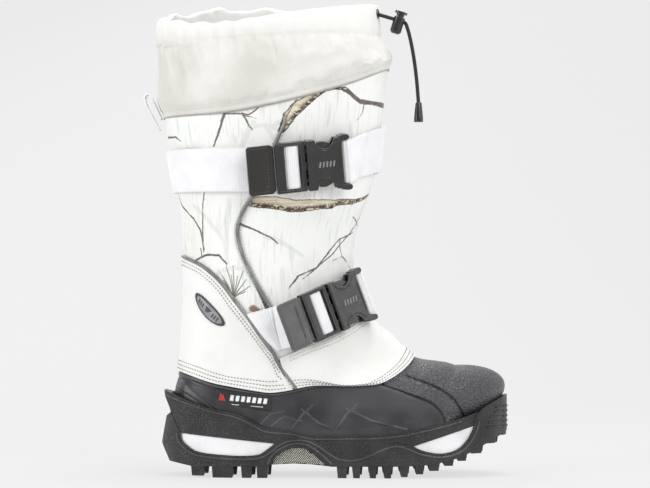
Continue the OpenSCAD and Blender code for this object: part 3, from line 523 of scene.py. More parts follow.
class Shader:
    """Node material with short calls for the nodes used here."""

    def __init__(self, name, color, rough=0.6):
        self.mat = bpy.data.materials.new(name)
        self.mat.use_nodes = True
        self.mat.diffuse_color = color
        self.t = self.mat.node_tree
        self.bsdf = self.t.nodes["Principled BSDF"]
        self.set(Base_Color=color, Roughness=rough, Specular_IOR_Level=0.5)
        self.coord = self.add("ShaderNodeTexCoord").outputs["Object"]
        self.height = None

    def put(self, socket, value):
        if isinstance(value, bpy.types.NodeSocket):
            self.t.links.new(value, socket)
        elif value is not None:
            socket.default_value = value

    def add(self, kind, inputs=(), **props):
        """New node: inputs are socket values by name or number, props its settings."""
        node = self.t.nodes.new(kind)
        for k, v in props.items():
            setattr(node, k, v)
        for k, v in dict(inputs).items():
            self.put(node.inputs[k], v)
        return node

    def attribute(self, name):
        return self.add("ShaderNodeAttribute", attribute_name=name).outputs["Vector"]

    def scaled(self, vec, scale, rot=(0, 0, 0), at=(0, 0, 0)):
        return self.add("ShaderNodeMapping", {"Vector": vec, "Scale": scale, "Rotation": rot,
                                              "Location": at}).outputs[0]

    def noise(self, scale, detail=4, rough=0.55, vec=None, distort=0.0, color=False):
        node = self.add("ShaderNodeTexNoise", {"Vector": vec or self.coord, "Scale": scale, "Detail": detail,
                                               "Roughness": rough, "Distortion": distort})
        return node.outputs["Color" if color else "Fac"]

    def voronoi(self, scale, feature="F1", vec=None, random=1.0):
        inputs = {"Vector": vec or self.coord, "Scale": scale, "Randomness": random}
        return self.add("ShaderNodeTexVoronoi", inputs, feature=feature).outputs["Distance"]

    def wave(self, scale, vec=None, direction="X", distort=0.0):
        inputs = {"Vector": vec or self.coord, "Scale": scale, "Distortion": distort}
        return self.add("ShaderNodeTexWave", inputs, wave_type="BANDS", bands_direction=direction).outputs["Fac"]

    def math(self, op, *values):
        return self.add("ShaderNodeMath", enumerate(values), operation=op).outputs[0]

    def vmath(self, op, a, b=None, scale=None):
        node = self.add("ShaderNodeVectorMath", {0: a, 1: b}, operation=op)
        if scale is not None:
            self.put(node.inputs["Scale"], scale)
        return node.outputs["Value" if op in ("DOT_PRODUCT", "DISTANCE", "LENGTH") else "Vector"]

    def between(self, value, lo, hi, out_lo=0.0, out_hi=1.0):
        """Soft step from out_lo to out_hi as value goes from lo to hi."""
        inputs = {"Value": value, "From Min": lo, "From Max": hi, "To Min": out_lo, "To Max": out_hi}
        return self.add("ShaderNodeMapRange", inputs, interpolation_type="SMOOTHSTEP").outputs["Result"]

    def split(self, vec):
        return self.add("ShaderNodeSeparateXYZ", {0: vec}).outputs

    def mix(self, fac, a, b):
        return self.add("ShaderNodeMix", {0: fac, 6: a, 7: b}, data_type="RGBA", blend_type="MIX").outputs[2]

    def tint(self, base, color, mask, share):
        """Base colour with another laid over it where the mask is, at most to a share."""
        return self.mix(self.math("MULTIPLY", mask, share), base, color)

    def color(self, value):
        self.set(Base_Color=value)

    def rough(self, value):
        self.set(Roughness=value)

    def bump(self, height, strength, dist):
        """Adds a bump layer; dist is in millimetres."""
        inputs = {"Strength": strength, "Distance": dist * MM, "Height": height, "Normal": self.height}
        self.height = self.add("ShaderNodeBump", inputs).outputs["Normal"]
        self.set(Normal=self.height)

    def set(self, **values):
        for k, v in values.items():
            self.put(self.bsdf.inputs[k.replace("_", " ")], v)


def vary(sh, a, b, scale, lo=0.35, hi=0.65, detail=4):
    """Base colour that wanders between a and b."""
    return sh.mix(sh.between(sh.noise(scale, detail), lo, hi), a, b)


# lines moulded into the rubber shell, [x, z] in the side view
GROOVES = [[[99, 88], [104, 83.6], [126.5, 75.6], [146.5, 67.6], [156, 57.6], [159.4, 48]],
           [[123, 93], [128, 90.6], [149, 83], [167, 71], [176, 55]]]
RIDGES = [[[-8, 47], [2, 58], [13, 60]], [[2, 46], [14, 56], [30, 51]], [[20, 44], [30, 56], [39, 66]],
          [[30, 62], [44, 50], [58, 44]], [[60, 42], [70, 57], [78, 66]], [[70, 63], [92, 52], [124, 44]],
          [[-88, 84], [-52, 62]], [[-80, 86], [-44, 60]]]


def segment_distance(sh, point, segments):
    """Signed distance in metres from the edge of tapered segments given in millimetres; negative inside."""
    best = None
    for a, b, ra, rb in segments:
        a, b = np.asarray(a, float) * MM, np.asarray(b, float) * MM
        d = b - a
        rel = sh.vmath("SUBTRACT", point, (a[0], a[1], 0))
        h = sh.vmath("DOT_PRODUCT", rel, tuple(d / (d @ d)) + (0,))
        h = sh.math("MINIMUM", sh.math("MAXIMUM", h, 0.0), 1.0)
        near = sh.vmath("SCALE", (d[0], d[1], 0), scale=h)
        dist = sh.vmath("DISTANCE", rel, near)
        dist = sh.math("SUBTRACT", dist, sh.math("MULTIPLY_ADD", h, (rb - ra) * MM, ra * MM))
        best = dist if best is None else sh.math("MINIMUM", best, dist)
    return best


def tapered(lines, half):
    """Segments of open lines that thin out at both ends."""
    out = []
    for line in lines:
        wide = [0.0] + [half] * (len(line) - 2) + [0.0]
        out += list(zip(line, line[1:], wide, wide[1:]))
    return out


def rubber_material():
    sh = Shader("rubber_shell", lin(58, 58, 60), 0.36)
    x, _, z = sh.split(sh.coord)
    flat = sh.add("ShaderNodeCombineXYZ", {0: x, 1: z}).outputs[0]
    groove = segment_distance(sh, flat, tapered([smooth(g, 2).tolist() for g in GROOVES], 0.5))
    ridge = segment_distance(sh, flat, tapered(RIDGES, 0.25))
    # the toe is pebbled forward of the first groove
    over = sh.math("ADD", z, sh.math("MULTIPLY_ADD", x, 0.325, -0.1165))
    toe = sh.math("MULTIPLY", sh.between(x, 0.094, 0.100),
                  sh.math("MAXIMUM", sh.between(x, 0.155, 0.160), sh.between(over, 0.0, 0.0015)))
    base = vary(sh, lin(44, 44, 47), lin(62, 62, 65), 28)
    scuff = sh.between(sh.noise(190, 6, 0.7), 0.62, 0.75)
    base = sh.tint(base, lin(88, 88, 90), scuff, 0.3)
    # painted highlight: a broad lighter patch on the smooth upper side of the shell
    painted_side_highlight = sh.math("MULTIPLY", sh.between(x, 0.03, 0.08), sh.between(z, 0.055, 0.068))
    base = sh.tint(base, lin(80, 79, 83), painted_side_highlight, 0.6)
    base = sh.tint(base, lin(78, 77, 81), toe, 0.45)
    # painted highlights: light specks on the tops of the toe's pebbles
    speck = sh.between(sh.voronoi(620), 0.12, 0.42, 1.0, 0.0)
    base = sh.tint(base, lin(132, 131, 136), sh.math("MULTIPLY", speck, toe), 0.5)
    # painted shade in hollows and painted highlight on convex edges, from the mesh's pointiness
    bend = sh.add("ShaderNodeNewGeometry").outputs["Pointiness"]
    base = sh.mix(sh.between(bend, 0.47, 0.496, 0.6, 0.0), base, lin(16, 16, 17))
    base = sh.mix(sh.between(bend, 0.505, 0.55, 0.0, 0.5), base, lin(126, 126, 128))
    # painted highlight along the moulded ridges and painted shade in the moulded grooves
    base = sh.mix(sh.between(ridge, 0.0002, 0.0009, 0.14, 0.0), base, lin(122, 122, 124))
    sh.color(sh.mix(sh.between(groove, 0.0001, 0.0008, 0.92, 0.0), base, lin(10, 10, 11)))
    sh.bump(sh.between(ridge, -0.0003, 0.0014, 1.0, 0.0), 0.8, 0.5)
    sh.bump(sh.between(groove, -0.0004, 0.0011, 0.0, 1.0), 1.0, 0.9)
    gloss = sh.between(sh.noise(45, 4), 0.3, 0.7, 0.27, 0.42)
    sh.rough(sh.math("ADD", gloss, sh.math("MULTIPLY", toe, 0.06)))
    pebble = sh.between(sh.voronoi(440), 0.1, 0.75, 1.0, 0.0)
    sh.bump(sh.math("MULTIPLY", pebble, toe), 1.0, 0.8)
    sh.bump(sh.noise(1400, 3, 0.6), 0.12, 0.2)
    return sh.mat


def plain_rubber(name, dark, light, rough=0.55, grain=1600, strength=0.25):
    """Moulded rubber with a pebbled surface and a little dust."""
    sh = Shader(name, light, rough)
    dust = sh.between(sh.noise(160, 6, 0.75), 0.6, 0.78)
    sh.color(sh.tint(vary(sh, dark, light, 40), brighter(light, 2.2), dust, 0.3))
    sh.rough(sh.between(sh.noise(60, 4), 0.3, 0.7, rough - 0.1, rough + 0.1))
    sh.bump(sh.between(sh.voronoi(grain * 0.27), 0.1, 0.7, 1.0, 0.0), strength * 2.4, 0.6)
    sh.bump(sh.noise(grain, 4, 0.6), strength, 0.2)
    return sh.mat


def leather_material():
    sh = Shader("leather", lin(246, 246, 242), 0.5)
    base = vary(sh, lin(241, 241, 238), lin(248, 248, 246), 22)
    cells = sh.voronoi(900, "DISTANCE_TO_EDGE", random=0.9)
    crease = sh.between(cells, 0.0, 0.07, 1.0, 0.0)
    base = sh.tint(base, lin(214, 212, 204), crease, 0.22)
    z = sh.split(sh.coord)[2]
    low = sh.between(z, 0.078, 0.105, 1.0, 0.0)
    dirt = sh.math("MULTIPLY", low, sh.between(sh.noise(70, 5, 0.7), 0.5, 0.75))
    sh.color(sh.tint(base, lin(206, 203, 194), dirt, 0.14))
    sh.rough(sh.between(sh.noise(120, 4), 0.3, 0.7, 0.42, 0.58))
    sh.bump(sh.between(cells, 0.0, 0.12), 0.28, 0.16)
    sh.bump(sh.noise(2200, 3, 0.6), 0.12, 0.1)
    sh.set(Coat_Weight=0.08, Coat_Roughness=0.4)
    return sh.mat


def weave_bump(sh, vec, scale, strength=0.5, dist=0.15):
    a = sh.wave(scale, vec, "X")
    b = sh.wave(scale, vec, "Y")
    sh.bump(sh.math("MULTIPLY", a, b), strength, dist)


def webbing_material():
    sh = Shader("webbing", lin(250, 250, 252), 0.62)
    vec = sh.attribute("strap")
    xyz = sh.split(vec)
    rib = sh.math("COSINE", sh.math("MULTIPLY", xyz[0], 2 * math.pi / (RIB_PITCH * MM)))
    # painted shade in the hollows between the ribs and along the strap's edges
    groove = sh.between(rib, -1.0, -0.25, 1.0, 0.0)
    base = vary(sh, lin(245, 245, 248), lin(252, 252, 254), 60)
    base = sh.tint(base, lin(196, 196, 208), groove, 0.16)
    edge = sh.between(sh.math("ABSOLUTE", xyz[1]), 17.9 * MM, 18.4 * MM)
    base = sh.tint(base, lin(200, 200, 212), edge, 0.10)
    sh.color(base)
    thread = sh.math("SINE", sh.math("MULTIPLY", xyz[1], 2 * math.pi / (THREAD_PITCH * MM)))
    sh.bump(thread, 0.35, 0.12)
    sh.bump(sh.noise(2600, 3, 0.7), 0.2, 0.08)
    sh.set(Sheen_Weight=0.15, Sheen_Roughness=0.4)
    return sh.mat


def nylon_material():
    sh = Shader("collar_nylon", lin(236, 234, 228), 0.5)
    vec = sh.attribute("leg")
    shade = vary(sh, lin(217, 215, 208), lin(233, 231, 226), 14)
    # painted highlight: the collar is lighter along its top, above 0.4 m
    height = sh.split(sh.coord)[2]
    sh.color(sh.mix(sh.between(height, 0.385, 0.415), shade, lin(246, 246, 243)))
    weave_bump(sh, vec, 420, 0.25, 0.08)
    sh.bump(sh.noise(60, 5, 0.6, distort=0.6), 0.45, 0.9)
    sh.bump(sh.noise(1.0, 3, 0.5, vec=sh.scaled(vec, (46, 17, 1))), 0.5, 2.4)
    sh.bump(sh.noise(20, 4, 0.6, distort=1.2), 0.5, 2.6)
    sh.set(Sheen_Weight=0.1)
    return sh.mat


def piping_material():
    sh = Shader("reflective_piping", lin(132, 133, 129), 0.38)
    base = vary(sh, lin(112, 113, 109), lin(146, 147, 143), 90)
    beads = sh.voronoi(1500)
    sh.color(sh.mix(sh.between(beads, 0.0, 0.5, 0.35, 0.0), base, lin(206, 208, 204)))
    sh.bump(beads, 0.4, 0.15)
    sh.set(Metallic=0.25)
    return sh.mat


def plastic_material(name, color, rough=0.36, light=None, coat=0.0):
    sh = Shader(name, color, rough)
    sh.height = sh.add("ShaderNodeBevel", {"Radius": 1.1 * MM}, samples=6).outputs["Normal"]
    soft = sh.height
    base = vary(sh, color, light or brighter(color, 1.5), 55, 0.4, 0.75)
    # painted highlight on convex edges, from the mesh's pointiness
    edge = sh.add("ShaderNodeNewGeometry").outputs["Pointiness"]
    edge_highlight = sh.between(edge, 0.53, 0.60)
    base = sh.tint(base, brighter(color, 2.6), edge_highlight, 0.3)
    # painted highlight along the rounded edges, strongest where they face up
    flat = sh.vmath("DOT_PRODUCT", soft, sh.add("ShaderNodeNewGeometry").outputs["Normal"])
    up = sh.between(sh.split(soft)[2], -0.1, 0.5, 0.25, 0.8)
    base = sh.tint(base, lin(142, 142, 141), sh.between(flat, 0.80, 0.985, 1.0, 0.0), up)
    sh.color(base)
    sh.rough(sh.between(sh.noise(130, 5), 0.3, 0.7, rough - 0.06, rough + 0.08))
    sh.bump(sh.noise(900, 3, 0.6), 0.12, 0.12)
    if coat:
        sh.set(Coat_Weight=coat, Coat_Roughness=0.12)
    return sh.mat


def cord_material():
    sh = Shader("cord", lin(28, 28, 30), 0.6)
    sh.color(vary(sh, lin(18, 18, 19), lin(46, 46, 49), 900, 0.3, 0.7, 2))
    sh.bump(sh.noise(3000, 2), 0.4, 0.1)
    return sh.mat


def thread_material(color):
    sh = Shader("thread", color, 0.6)
    sh.color(vary(sh, brighter(color, 0.8), color, 700, 0.35, 0.65, 2))
    sh.bump(sh.wave(900, distort=0.5), 0.4, 0.08)
    return sh.mat


def foam_material(name, a, b, scale=900):
    sh = Shader(name, a, 0.85)
    sh.color(vary(sh, a, b, 60))
    sh.bump(sh.voronoi(scale), 0.5, 0.3)
    return sh.mat


def felt_material():
    sh = Shader("felt", lin(150, 152, 156), 0.9)
    base = vary(sh, lin(126, 128, 132), lin(172, 174, 178), 120, 0.3, 0.7, 8)
    fleck = sh.between(sh.noise(900, 4, 0.8), 0.6, 0.72)
    sh.color(sh.tint(base, lin(206, 207, 210), fleck, 0.4))
    sh.bump(sh.noise(1300, 6, 0.75, distort=1.2), 0.7, 0.5)
    sh.set(Sheen_Weight=0.35)
    return sh.mat


def lining_material():
    sh = Shader("lining", lin(62, 66, 74), 0.85)
    vec = sh.attribute("leg")
    base = vary(sh, lin(52, 56, 64), lin(80, 84, 92), 90)
    knit = sh.voronoi(900, vec=vec)
    sh.color(sh.mix(sh.between(knit, 0.2, 0.7, 0.0, 0.35), base, lin(38, 40, 46)))
    sh.bump(knit, 0.5, 0.3)
    sh.set(Sheen_Weight=0.3)
    return sh.mat


def metal_material(name, a, b, rough=0.34):
    sh = Shader(name, a, rough)
    brushed = sh.noise(70, 4, vec=sh.scaled(sh.coord, (1, 1, 18)))
    sh.color(sh.mix(sh.between(brushed, 0.3, 0.7), a, b))
    sh.rough(sh.between(brushed, 0.3, 0.7, rough - 0.08, rough + 0.1))
    sh.bump(brushed, 0.15, 0.1)
    sh.set(Metallic=0.85)
    return sh.mat


def insert_material():
    sh = Shader("insert_foam", lin(240, 240, 240), 0.4)
    base = vary(sh, lin(228, 228, 229), lin(246, 246, 248), 30)
    stain = sh.between(sh.noise(120, 5, 0.7), 0.58, 0.75)
    sh.color(sh.tint(base, lin(190, 186, 178), stain, 0.15))
    sh.rough(sh.between(sh.noise(80, 4), 0.3, 0.7, 0.3, 0.5))
    sh.bump(sh.noise(700, 4), 0.15, 0.2)
    return sh.mat


# ---- printed shaft fabric ------------------------------------------------------------------------
SPOT_T, SPOT_PHI = np.meshgrid(np.arange(1.5, 11, 0.05), np.arange(8, 178, 1.0), indexing="ij")
SPOTS = skin(SPOT_T, SPOT_PHI)


def print_spot(x, z, side=1):
    """Place on the print (metres round the leg, metres up) for a side-view position in millimetres."""
    k = np.argmin((SPOTS[..., 0] - x) ** 2 + (SPOTS[..., 2] - z) ** 2)
    phi = SPOT_PHI.ravel()[k]
    return np.array([((phi if side > 0 else 360 - phi) - 90) * LEG_DEGREE, SPOTS.reshape(-1, 3)[k, 2]])


# own layout of bare winter branches: [x, z, half width] along each, seen from the outer side
THICK = [
    [[-13, 249, 5.2], [4, 247.5, 5.6], [22, 245.5, 5.6], [40, 245, 5.0], [56, 246.5, 4.4],
     [63, 248.5, 2.8], [76, 250.5, 2.4], [94, 255, 0.9]],
    [[12, 312, 2.0], [20, 325, 4.2], [29, 336, 4.4], [40, 344, 3.2], [50, 348, 1.8], [60, 350, 1.3],
     [70, 351, 1.5]],
]
THIN = [
    [[-90, 256, 0.7], [-80, 247, 0.8], [-69, 233, 0.8], [-62, 223, 0.7], [-59, 206, 0.5]],
    [[-58, 262, 0.5], [-60, 240, 0.5], [-60, 223, 0.6], [-60, 204, 0.5]],
    [[-26, 229, 0.8], [-14, 225, 0.7], [0, 217, 0.6], [8, 211, 0.5]],
    [[97, 258, 0.7], [92, 254, 0.7], [84, 238, 0.6], [70, 218, 0.6], [60, 205, 0.5], [44, 190, 0.5],
     [30, 180, 0.4]],
    [[-37, 331, 0.8], [-42, 318, 0.8], [-50, 299, 0.5]],
    [[-37, 327, 0.5], [-26, 327, 0.5], [-18, 326, 0.5], [-10, 332, 0.3]],
    [[-24, 327, 0.5], [-18, 318, 0.4], [-14, 312, 0.3]],
    [[-22, 326, 0.4], [-11, 324, 0.3]],
    [[-95, 309, 0.9], [-84, 307, 0.7], [-80, 305, 0.4]],
    [[-72, 190, 0.6], [-66, 197, 0.8], [-56, 202, 0.9], [-46, 200, 0.9], [-38, 193, 0.6]],
    [[-62, 207, 0.5], [-61, 199, 0.6]],
    [[18, 170, 0.5], [26, 182, 0.6], [44, 190, 0.5]],
    [[44, 190, 0.6], [54, 205, 0.6], [64, 216, 0.5], [76, 222, 0.4]],
    [[64, 216, 0.5], [66, 200, 0.5], [74, 190, 0.4], [80, 178, 0.3]],
    [[66, 200, 0.4], [58, 196, 0.3]],
    [[68, 351, 2.2], [74, 347, 1.5], [82, 341, 1.9], [94, 338, 1.8], [110, 338, 2.2]],
    [[86, 340, 0.5], [84, 330, 0.4], [80, 322, 0.3]],
    [[-66, 160, 0.5], [-60, 172, 0.6], [-52, 182, 0.5]],
    [[76, 236, 0.5], [86, 226, 0.5], [92, 214, 0.4]],
]
# a spray of pine needles low on the rear panel: [foot x, foot z], then the tips
NEEDLE_FOOT = [-32, 162]
NEEDLE_TIPS = [[-49, 181], [-45, 189], [-42, 178], [-39, 191], [-35, 184], [-32, 192], [-28, 183], [-24, 188],
               [-20, 179], [-51, 172], [-45, 167], [-17, 173], [-22, 168]]


def branch_segments(lines, side=1, dx=0.0, dz=0.0):
    out = []
    for line in lines:
        spots = [(print_spot(np.clip(p[0] + dx, -100, 108), p[1] + dz, side), p[2]) for p in line]
        out += [(a, b, ra, rb) for (a, ra), (b, rb) in zip(spots, spots[1:])]
    return out


def print_material():
    sh = Shader("printed_fabric", lin(244, 245, 243), 0.62)
    leg = sh.attribute("leg")

    def wander(vec, scale, detail, reach):
        shift = sh.vmath("SUBTRACT", sh.noise(scale, detail, vec=leg, color=True), (0.5, 0.5, 0.5))
        return sh.vmath("ADD", vec, sh.vmath("SCALE", shift, scale=reach))

    point = wander(leg, 60, 2, 0.0032)
    ragged = wander(point, 520, 3, 0.0012)
    ground = vary(sh, lin(249, 250, 248), lin(240, 242, 238), 14, 0.4, 0.7)
    # faint undergrowth: soft blotches, grass blades and pale twigs
    blotch = sh.between(sh.noise(34, 6, 0.72, vec=leg, distort=0.8), 0.54, 0.72)
    ground = sh.tint(ground, lin(222, 226, 216), blotch, 0.3)
    for turn, seed, tone in ((0.35, 0.0, (214, 219, 208)), (-0.3, 3.1, (206, 211, 204)),
                             (0.9, 7.7, (220, 221, 212))):
        stroke = sh.noise(1.0, 2, 0.5, vec=sh.scaled(leg, (300, 20, 1), (0, 0, turn), (seed, seed, 0)))
        patch = sh.between(sh.noise(18, 3, vec=sh.scaled(leg, (1, 1, 1), at=(seed, 0, 0))), 0.46, 0.60)
        ground = sh.tint(ground, lin(*tone), sh.math("MULTIPLY", sh.between(stroke, 0.57, 0.66), patch), 0.5)
    # bark-like hairlines, in drifting patches
    hairs = sh.noise(1.0, 3, 0.6, vec=sh.scaled(leg, (760, 46, 1), (0, 0, 0.12)))
    drift = sh.between(sh.noise(11, 3, vec=leg), 0.44, 0.6)
    hairs = sh.math("MULTIPLY", sh.between(hairs, 0.56, 0.64), drift)
    ground = sh.tint(ground, lin(190, 189, 176), hairs, 0.5)
    twigs = branch_segments(THIN[:10], 1, 22, -11) + branch_segments(THIN[:8], -1, -8, 12)
    pale = segment_distance(sh, point, twigs)
    ground = sh.tint(ground, lin(196, 200, 188), sh.between(pale, 0.0006, 0.0018, 1.0, 0.0), 0.3)
    spray = [[NEEDLE_FOOT + [0.3], tip + [0.05]] for tip in NEEDLE_TIPS]
    needles = segment_distance(sh, point, branch_segments(spray))
    ground = sh.mix(sh.between(needles, 0.0, 0.0006, 0.9, 0.0), ground, lin(104, 106, 82))
    cone = segment_distance(sh, ragged, branch_segments([[[-14, 152, 4.4], [-8, 148, 3.2]]]))
    ground = sh.mix(sh.between(cone, -0.002, 0.0004, 0.9, 0.0), ground, lin(132, 84, 46))
    thin = segment_distance(sh, ragged, branch_segments(THIN) + branch_segments(THIN[:12], -1, 6, -4))
    tone = vary(sh, lin(58, 46, 38), lin(104, 88, 74), 220, 0.42, 0.62)
    ground = sh.mix(sh.between(thin, -0.0001, 0.0004, 0.92, 0.0), ground, tone)
    # thick branches: pale wood with ragged dark bark left along both sides, heavier below
    thick = segment_distance(sh, ragged, branch_segments(THICK) + branch_segments(THICK, -1, 0, -6))
    upper = segment_distance(sh, sh.vmath("SUBTRACT", ragged, (0, 0.0026, 0)), branch_segments(THICK))
    grain = sh.noise(1.0, 5, 0.65, vec=sh.scaled(point, (60, 560, 1)))
    wood = sh.mix(sh.between(grain, 0.38, 0.62), lin(206, 190, 162), lin(238, 230, 212))
    speck = sh.between(sh.noise(300, 5, 0.75, vec=leg), 0.42, 0.51)
    rim = sh.between(upper, -0.0036, -0.0004, 0.06, 1.0)
    bark = sh.mix(sh.noise(700, 3, vec=leg), lin(30, 24, 20), lin(94, 72, 54))
    wood = sh.tint(wood, bark, speck, rim)
    wood = sh.mix(sh.between(thick, -0.0011, -0.0003, 0.0, 0.95), wood, bark)
    sh.color(sh.mix(sh.between(thick, -0.0002, 0.0002, 1.0, 0.0), ground, wood))
    weave_bump(sh, leg, 380, 0.3, 0.08)
    sh.bump(sh.noise(30, 4, 0.5), 0.25, 1.0)
    sh.set(Sheen_Weight=0.08)
    return sh.mat


M = {
    "rubber": rubber_material(),
    "tread": plain_rubber("rubber_tread", lin(34, 34, 36), lin(50, 49, 51), 0.46, 1700, 0.3),
    "band": plain_rubber("rubber_band", lin(32, 31, 32), lin(46, 45, 46), 0.46, 1700, 0.3),
    # lighter rubber on the sole's raised beads: painted highlight along the sole's edges
    "bead": plain_rubber("rubber_bead_painted_highlight", lin(66, 65, 67), lin(84, 83, 85), 0.36, 1700, 0.2),
    "insert": insert_material(),
    "leather": leather_material(),
    "webbing": webbing_material(),
    "nylon": nylon_material(),
    "piping": piping_material(),
    "body": plastic_material("buckle_plastic", lin(24, 24, 23), 0.3, lin(38, 38, 36), coat=0.3),
    "latch": plastic_material("latch_plastic", lin(22, 21, 20), 0.32, lin(36, 35, 34), coat=0.3),
    "tab_dark": plastic_material("tab_dark", lin(30, 24, 22), 0.38, lin(38, 32, 29), coat=0.15),
    "tab_grey": plastic_material("tab_grey", lin(72, 72, 72), 0.34, lin(86, 86, 86), coat=0.3),
    "gloss": plastic_material("gloss_plastic", lin(24, 24, 25), 0.22, lin(34, 34, 35), coat=0.5),
    "cord": cord_material(),
    "thread": thread_material(lin(150, 150, 147)),
    "thread_pale": thread_material(lin(222, 221, 216)),
    "foam": foam_material("foam", lin(214, 204, 168), lin(226, 218, 190)),
    "insole": foam_material("insole_foam", lin(120, 112, 98), lin(140, 132, 118), 700),
    "felt": felt_material(),
    "lining": lining_material(),
    "arch": metal_material("arch_metal", lin(58, 58, 55), lin(84, 83, 78)),
    "arch_rib": metal_material("arch_rib", lin(190, 189, 180), lin(222, 220, 208), 0.4),
    "mark": plastic_material("raised_mark", lin(112, 112, 110), 0.3, lin(130, 130, 128)),
    "steel": metal_material("steel", lin(160, 162, 166), lin(190, 192, 196), 0.25),
    "badge": plastic_material("badge_metallic", lin(132, 133, 136), 0.26, lin(168, 169, 172), coat=0.4),
    "badge_rim": plastic_material("badge_rim", lin(52, 52, 54), 0.35),
    "label": plastic_material("label_rubber", lin(34, 34, 36), 0.6, lin(44, 44, 46)),
    "label_mark": plastic_material("label_mark", lin(226, 226, 224), 0.5),
    "label_red": plastic_material("label_red", lin(190, 44, 40), 0.5),
    "print": print_material(),
}


# ---- rubber shell --------------------------------------------------------------------------------
def line_distance(p, line):
    """Distance in the side view from points to an open line, and how far along it (0 to 1)."""
    q = np.stack([p[..., 0], p[..., 2]], -1)
    line = np.asarray(line, float)
    best = np.full(q.shape[:-1], 1e9)
    along = np.zeros(q.shape[:-1])
    n = len(line) - 1
    for k in range(n):
        a, d = line[k], line[k + 1] - line[k]
        h = np.clip(((q - a) @ d) / (d @ d), 0, 1)
        dist = np.linalg.norm(q - a - h[..., None] * d, axis=-1)
        along = np.where(dist < best, (k + h) / n, along)
        best = np.minimum(best, dist)
    return best, along


def shell_relief(p, t, phi):
    side = np.clip(np.sin(np.radians(np.clip(mirrored(phi), 0, 180))) * 1.6 - 0.4, 0, 1)
    h = np.zeros(t.shape)
    for g in GROOVES:
        d, along = line_distance(p, smooth(g, 6))
        h -= 0.7 * np.clip(along / 0.2, 0, 1) * np.clip((1 - along) / 0.1, 0, 1) * np.exp(-(d / 1.7) ** 2)
    for r in RIDGES:
        d, along = line_distance(p, r)
        ends = np.clip(along / 0.15, 0, 1) * np.clip((1 - along) / 0.15, 0, 1)
        h += 0.6 * np.exp(-(d / 1.5) ** 2) * side * ends
    # a moulded lip runs along the top edge
    lip = (t - rubber_t(phi)) * 22
    h += 0.8 * np.exp(-((lip - 2.2) / 1.2) ** 2) - 0.5 * np.exp(-((lip - 5.2) / 1.0) ** 2)
    return h


def toe_rows(top, n_form, n_cap):
    """Sections down every column to the toe: rows on the form, then rows round the cap."""
    f = np.linspace(0, 1, n_form)
    form = top[:, None] + (LAST - top)[:, None] * f
    cap = LAST + np.sin(np.linspace(0, math.pi / 2, n_cap + 1))[1:]
    return np.concatenate([form, np.broadcast_to(cap, (len(top), n_cap))], 1)


# top edge of the midsole band in the side view, as in the CAD
BAND_TOP = [[-96.5, 78], [-89, 75.4], [-66, 66.3], [-51.5, 62], [-30.7, 58], [-15.3, 51.2], [-5.4, 45.8],
            [3.4, 44.1], [21.7, 42.6], [38.4, 38.2], [73, 38.4], [98.7, 39.1], [126, 42.4], [158.6, 49.8],
            [175, 54.3], [190.8, 59.6]]


def node_points(node):
    src = frame["nodes"][node]
    return np.array([src.matrix_world @ v.co for v in src.data.vertices]) / MM


def widest(points, side):
    """Half width of a cloud of points along x on one side, as the two lists np.interp takes."""
    pitch = 3.0
    x, w = points[..., 0].ravel(), points[..., 1].ravel() * side
    stations = np.arange(-100, 206, pitch)
    kept = [(q, w[np.abs(x - q) < pitch].max()) for q in stations if np.any(np.abs(x - q) < pitch)]
    return np.array(kept).T


def meet_band(p):
    """Brings the foot of the shell out over the band, so that no gap shows between them."""
    band = node_points("midsole")
    out = p.copy()
    x, z = p[..., 0], p[..., 2]
    up = z - np.interp(x, *np.transpose(BAND_TOP))
    share = np.clip((up + 6) / 3, 0, 1) * np.clip((17 - up) / 6, 0, 1)
    share = share * np.clip((x + 92) / 12, 0, 1) * np.clip((176 - x) / 14, 0, 1)
    for side in (-1, 1):
        y = p[..., 1] * side
        reach = np.minimum(np.interp(x, *widest(band, side)) - 1.0, np.interp(x, *widest(p, side)) + 0.2)
        reach = reach - 0.1 * np.maximum(up, 0)
        full = (y + reach + np.hypot(y - reach, 2.0)) / 2
        here = share * (y > 12) * np.clip((y - 12) / 10, 0, 1)
        out[..., 1] = out[..., 1] + side * (full - y) * here
    return out


def toe_cup(name, phi, top, n_form, n_cap, outer, inner, mat, nodes, relief=None, rim=3, body="boot",
            settle=None):
    """Closed-toed shell: outer and inner are functions (t, phi) of offset; settle moves the outer face."""
    t = toe_rows(top, n_form, n_cap)
    ang = np.broadcast_to(phi[:, None], t.shape)
    o_out, o_in = outer(t, ang), inner(t, ang)
    if relief is not None:
        o_out = o_out + relief(skin(t, ang), t, ang)
    a = np.linspace(0, math.pi, rim + 2)[1:-1]
    t_rim = top[:, None] - 0.012 * np.sin(a)
    mid, half = (o_out[:, :1] + o_in[:, :1]) / 2, (o_out[:, :1] - o_in[:, :1]) / 2
    o_rim = mid - half * np.cos(a)
    coarse = np.r_[0:t.shape[1] - 1:4, t.shape[1] - 1]
    rows_t = np.concatenate([t[:, ::-1], t_rim[:, ::-1], t[:, coarse]], 1)
    rows_o = np.concatenate([o_out[:, ::-1], o_rim[:, ::-1], o_in[:, coarse]], 1)
    pts = skin(rows_t, np.broadcast_to(phi[:, None], rows_t.shape), rows_o)
    if settle is not None:
        pts[:, :t.shape[1]] = settle(pts[:, :t.shape[1]])
    n, m = rows_t.shape
    return new_piece(name, pts.reshape(-1, 3), grid_faces(n, m, True), mat, body, nodes, weld=0.02)


SHELL_LAP = 0.2
phi_ring = np.arange(0, 360, 1.2)


def shell_out(t, phi):
    return np.where(t < rubber_t(phi) + 0.02, -0.4, 0.0)


toe_cup("rubber_shell_moulded", phi_ring, rubber_t(phi_ring) - SHELL_LAP, 210, 40, shell_out,
        lambda t, phi: np.full(t.shape, -RUBBER_WALL), M["rubber"], ["rubber_shell"],
        shell_relief, settle=meet_band)

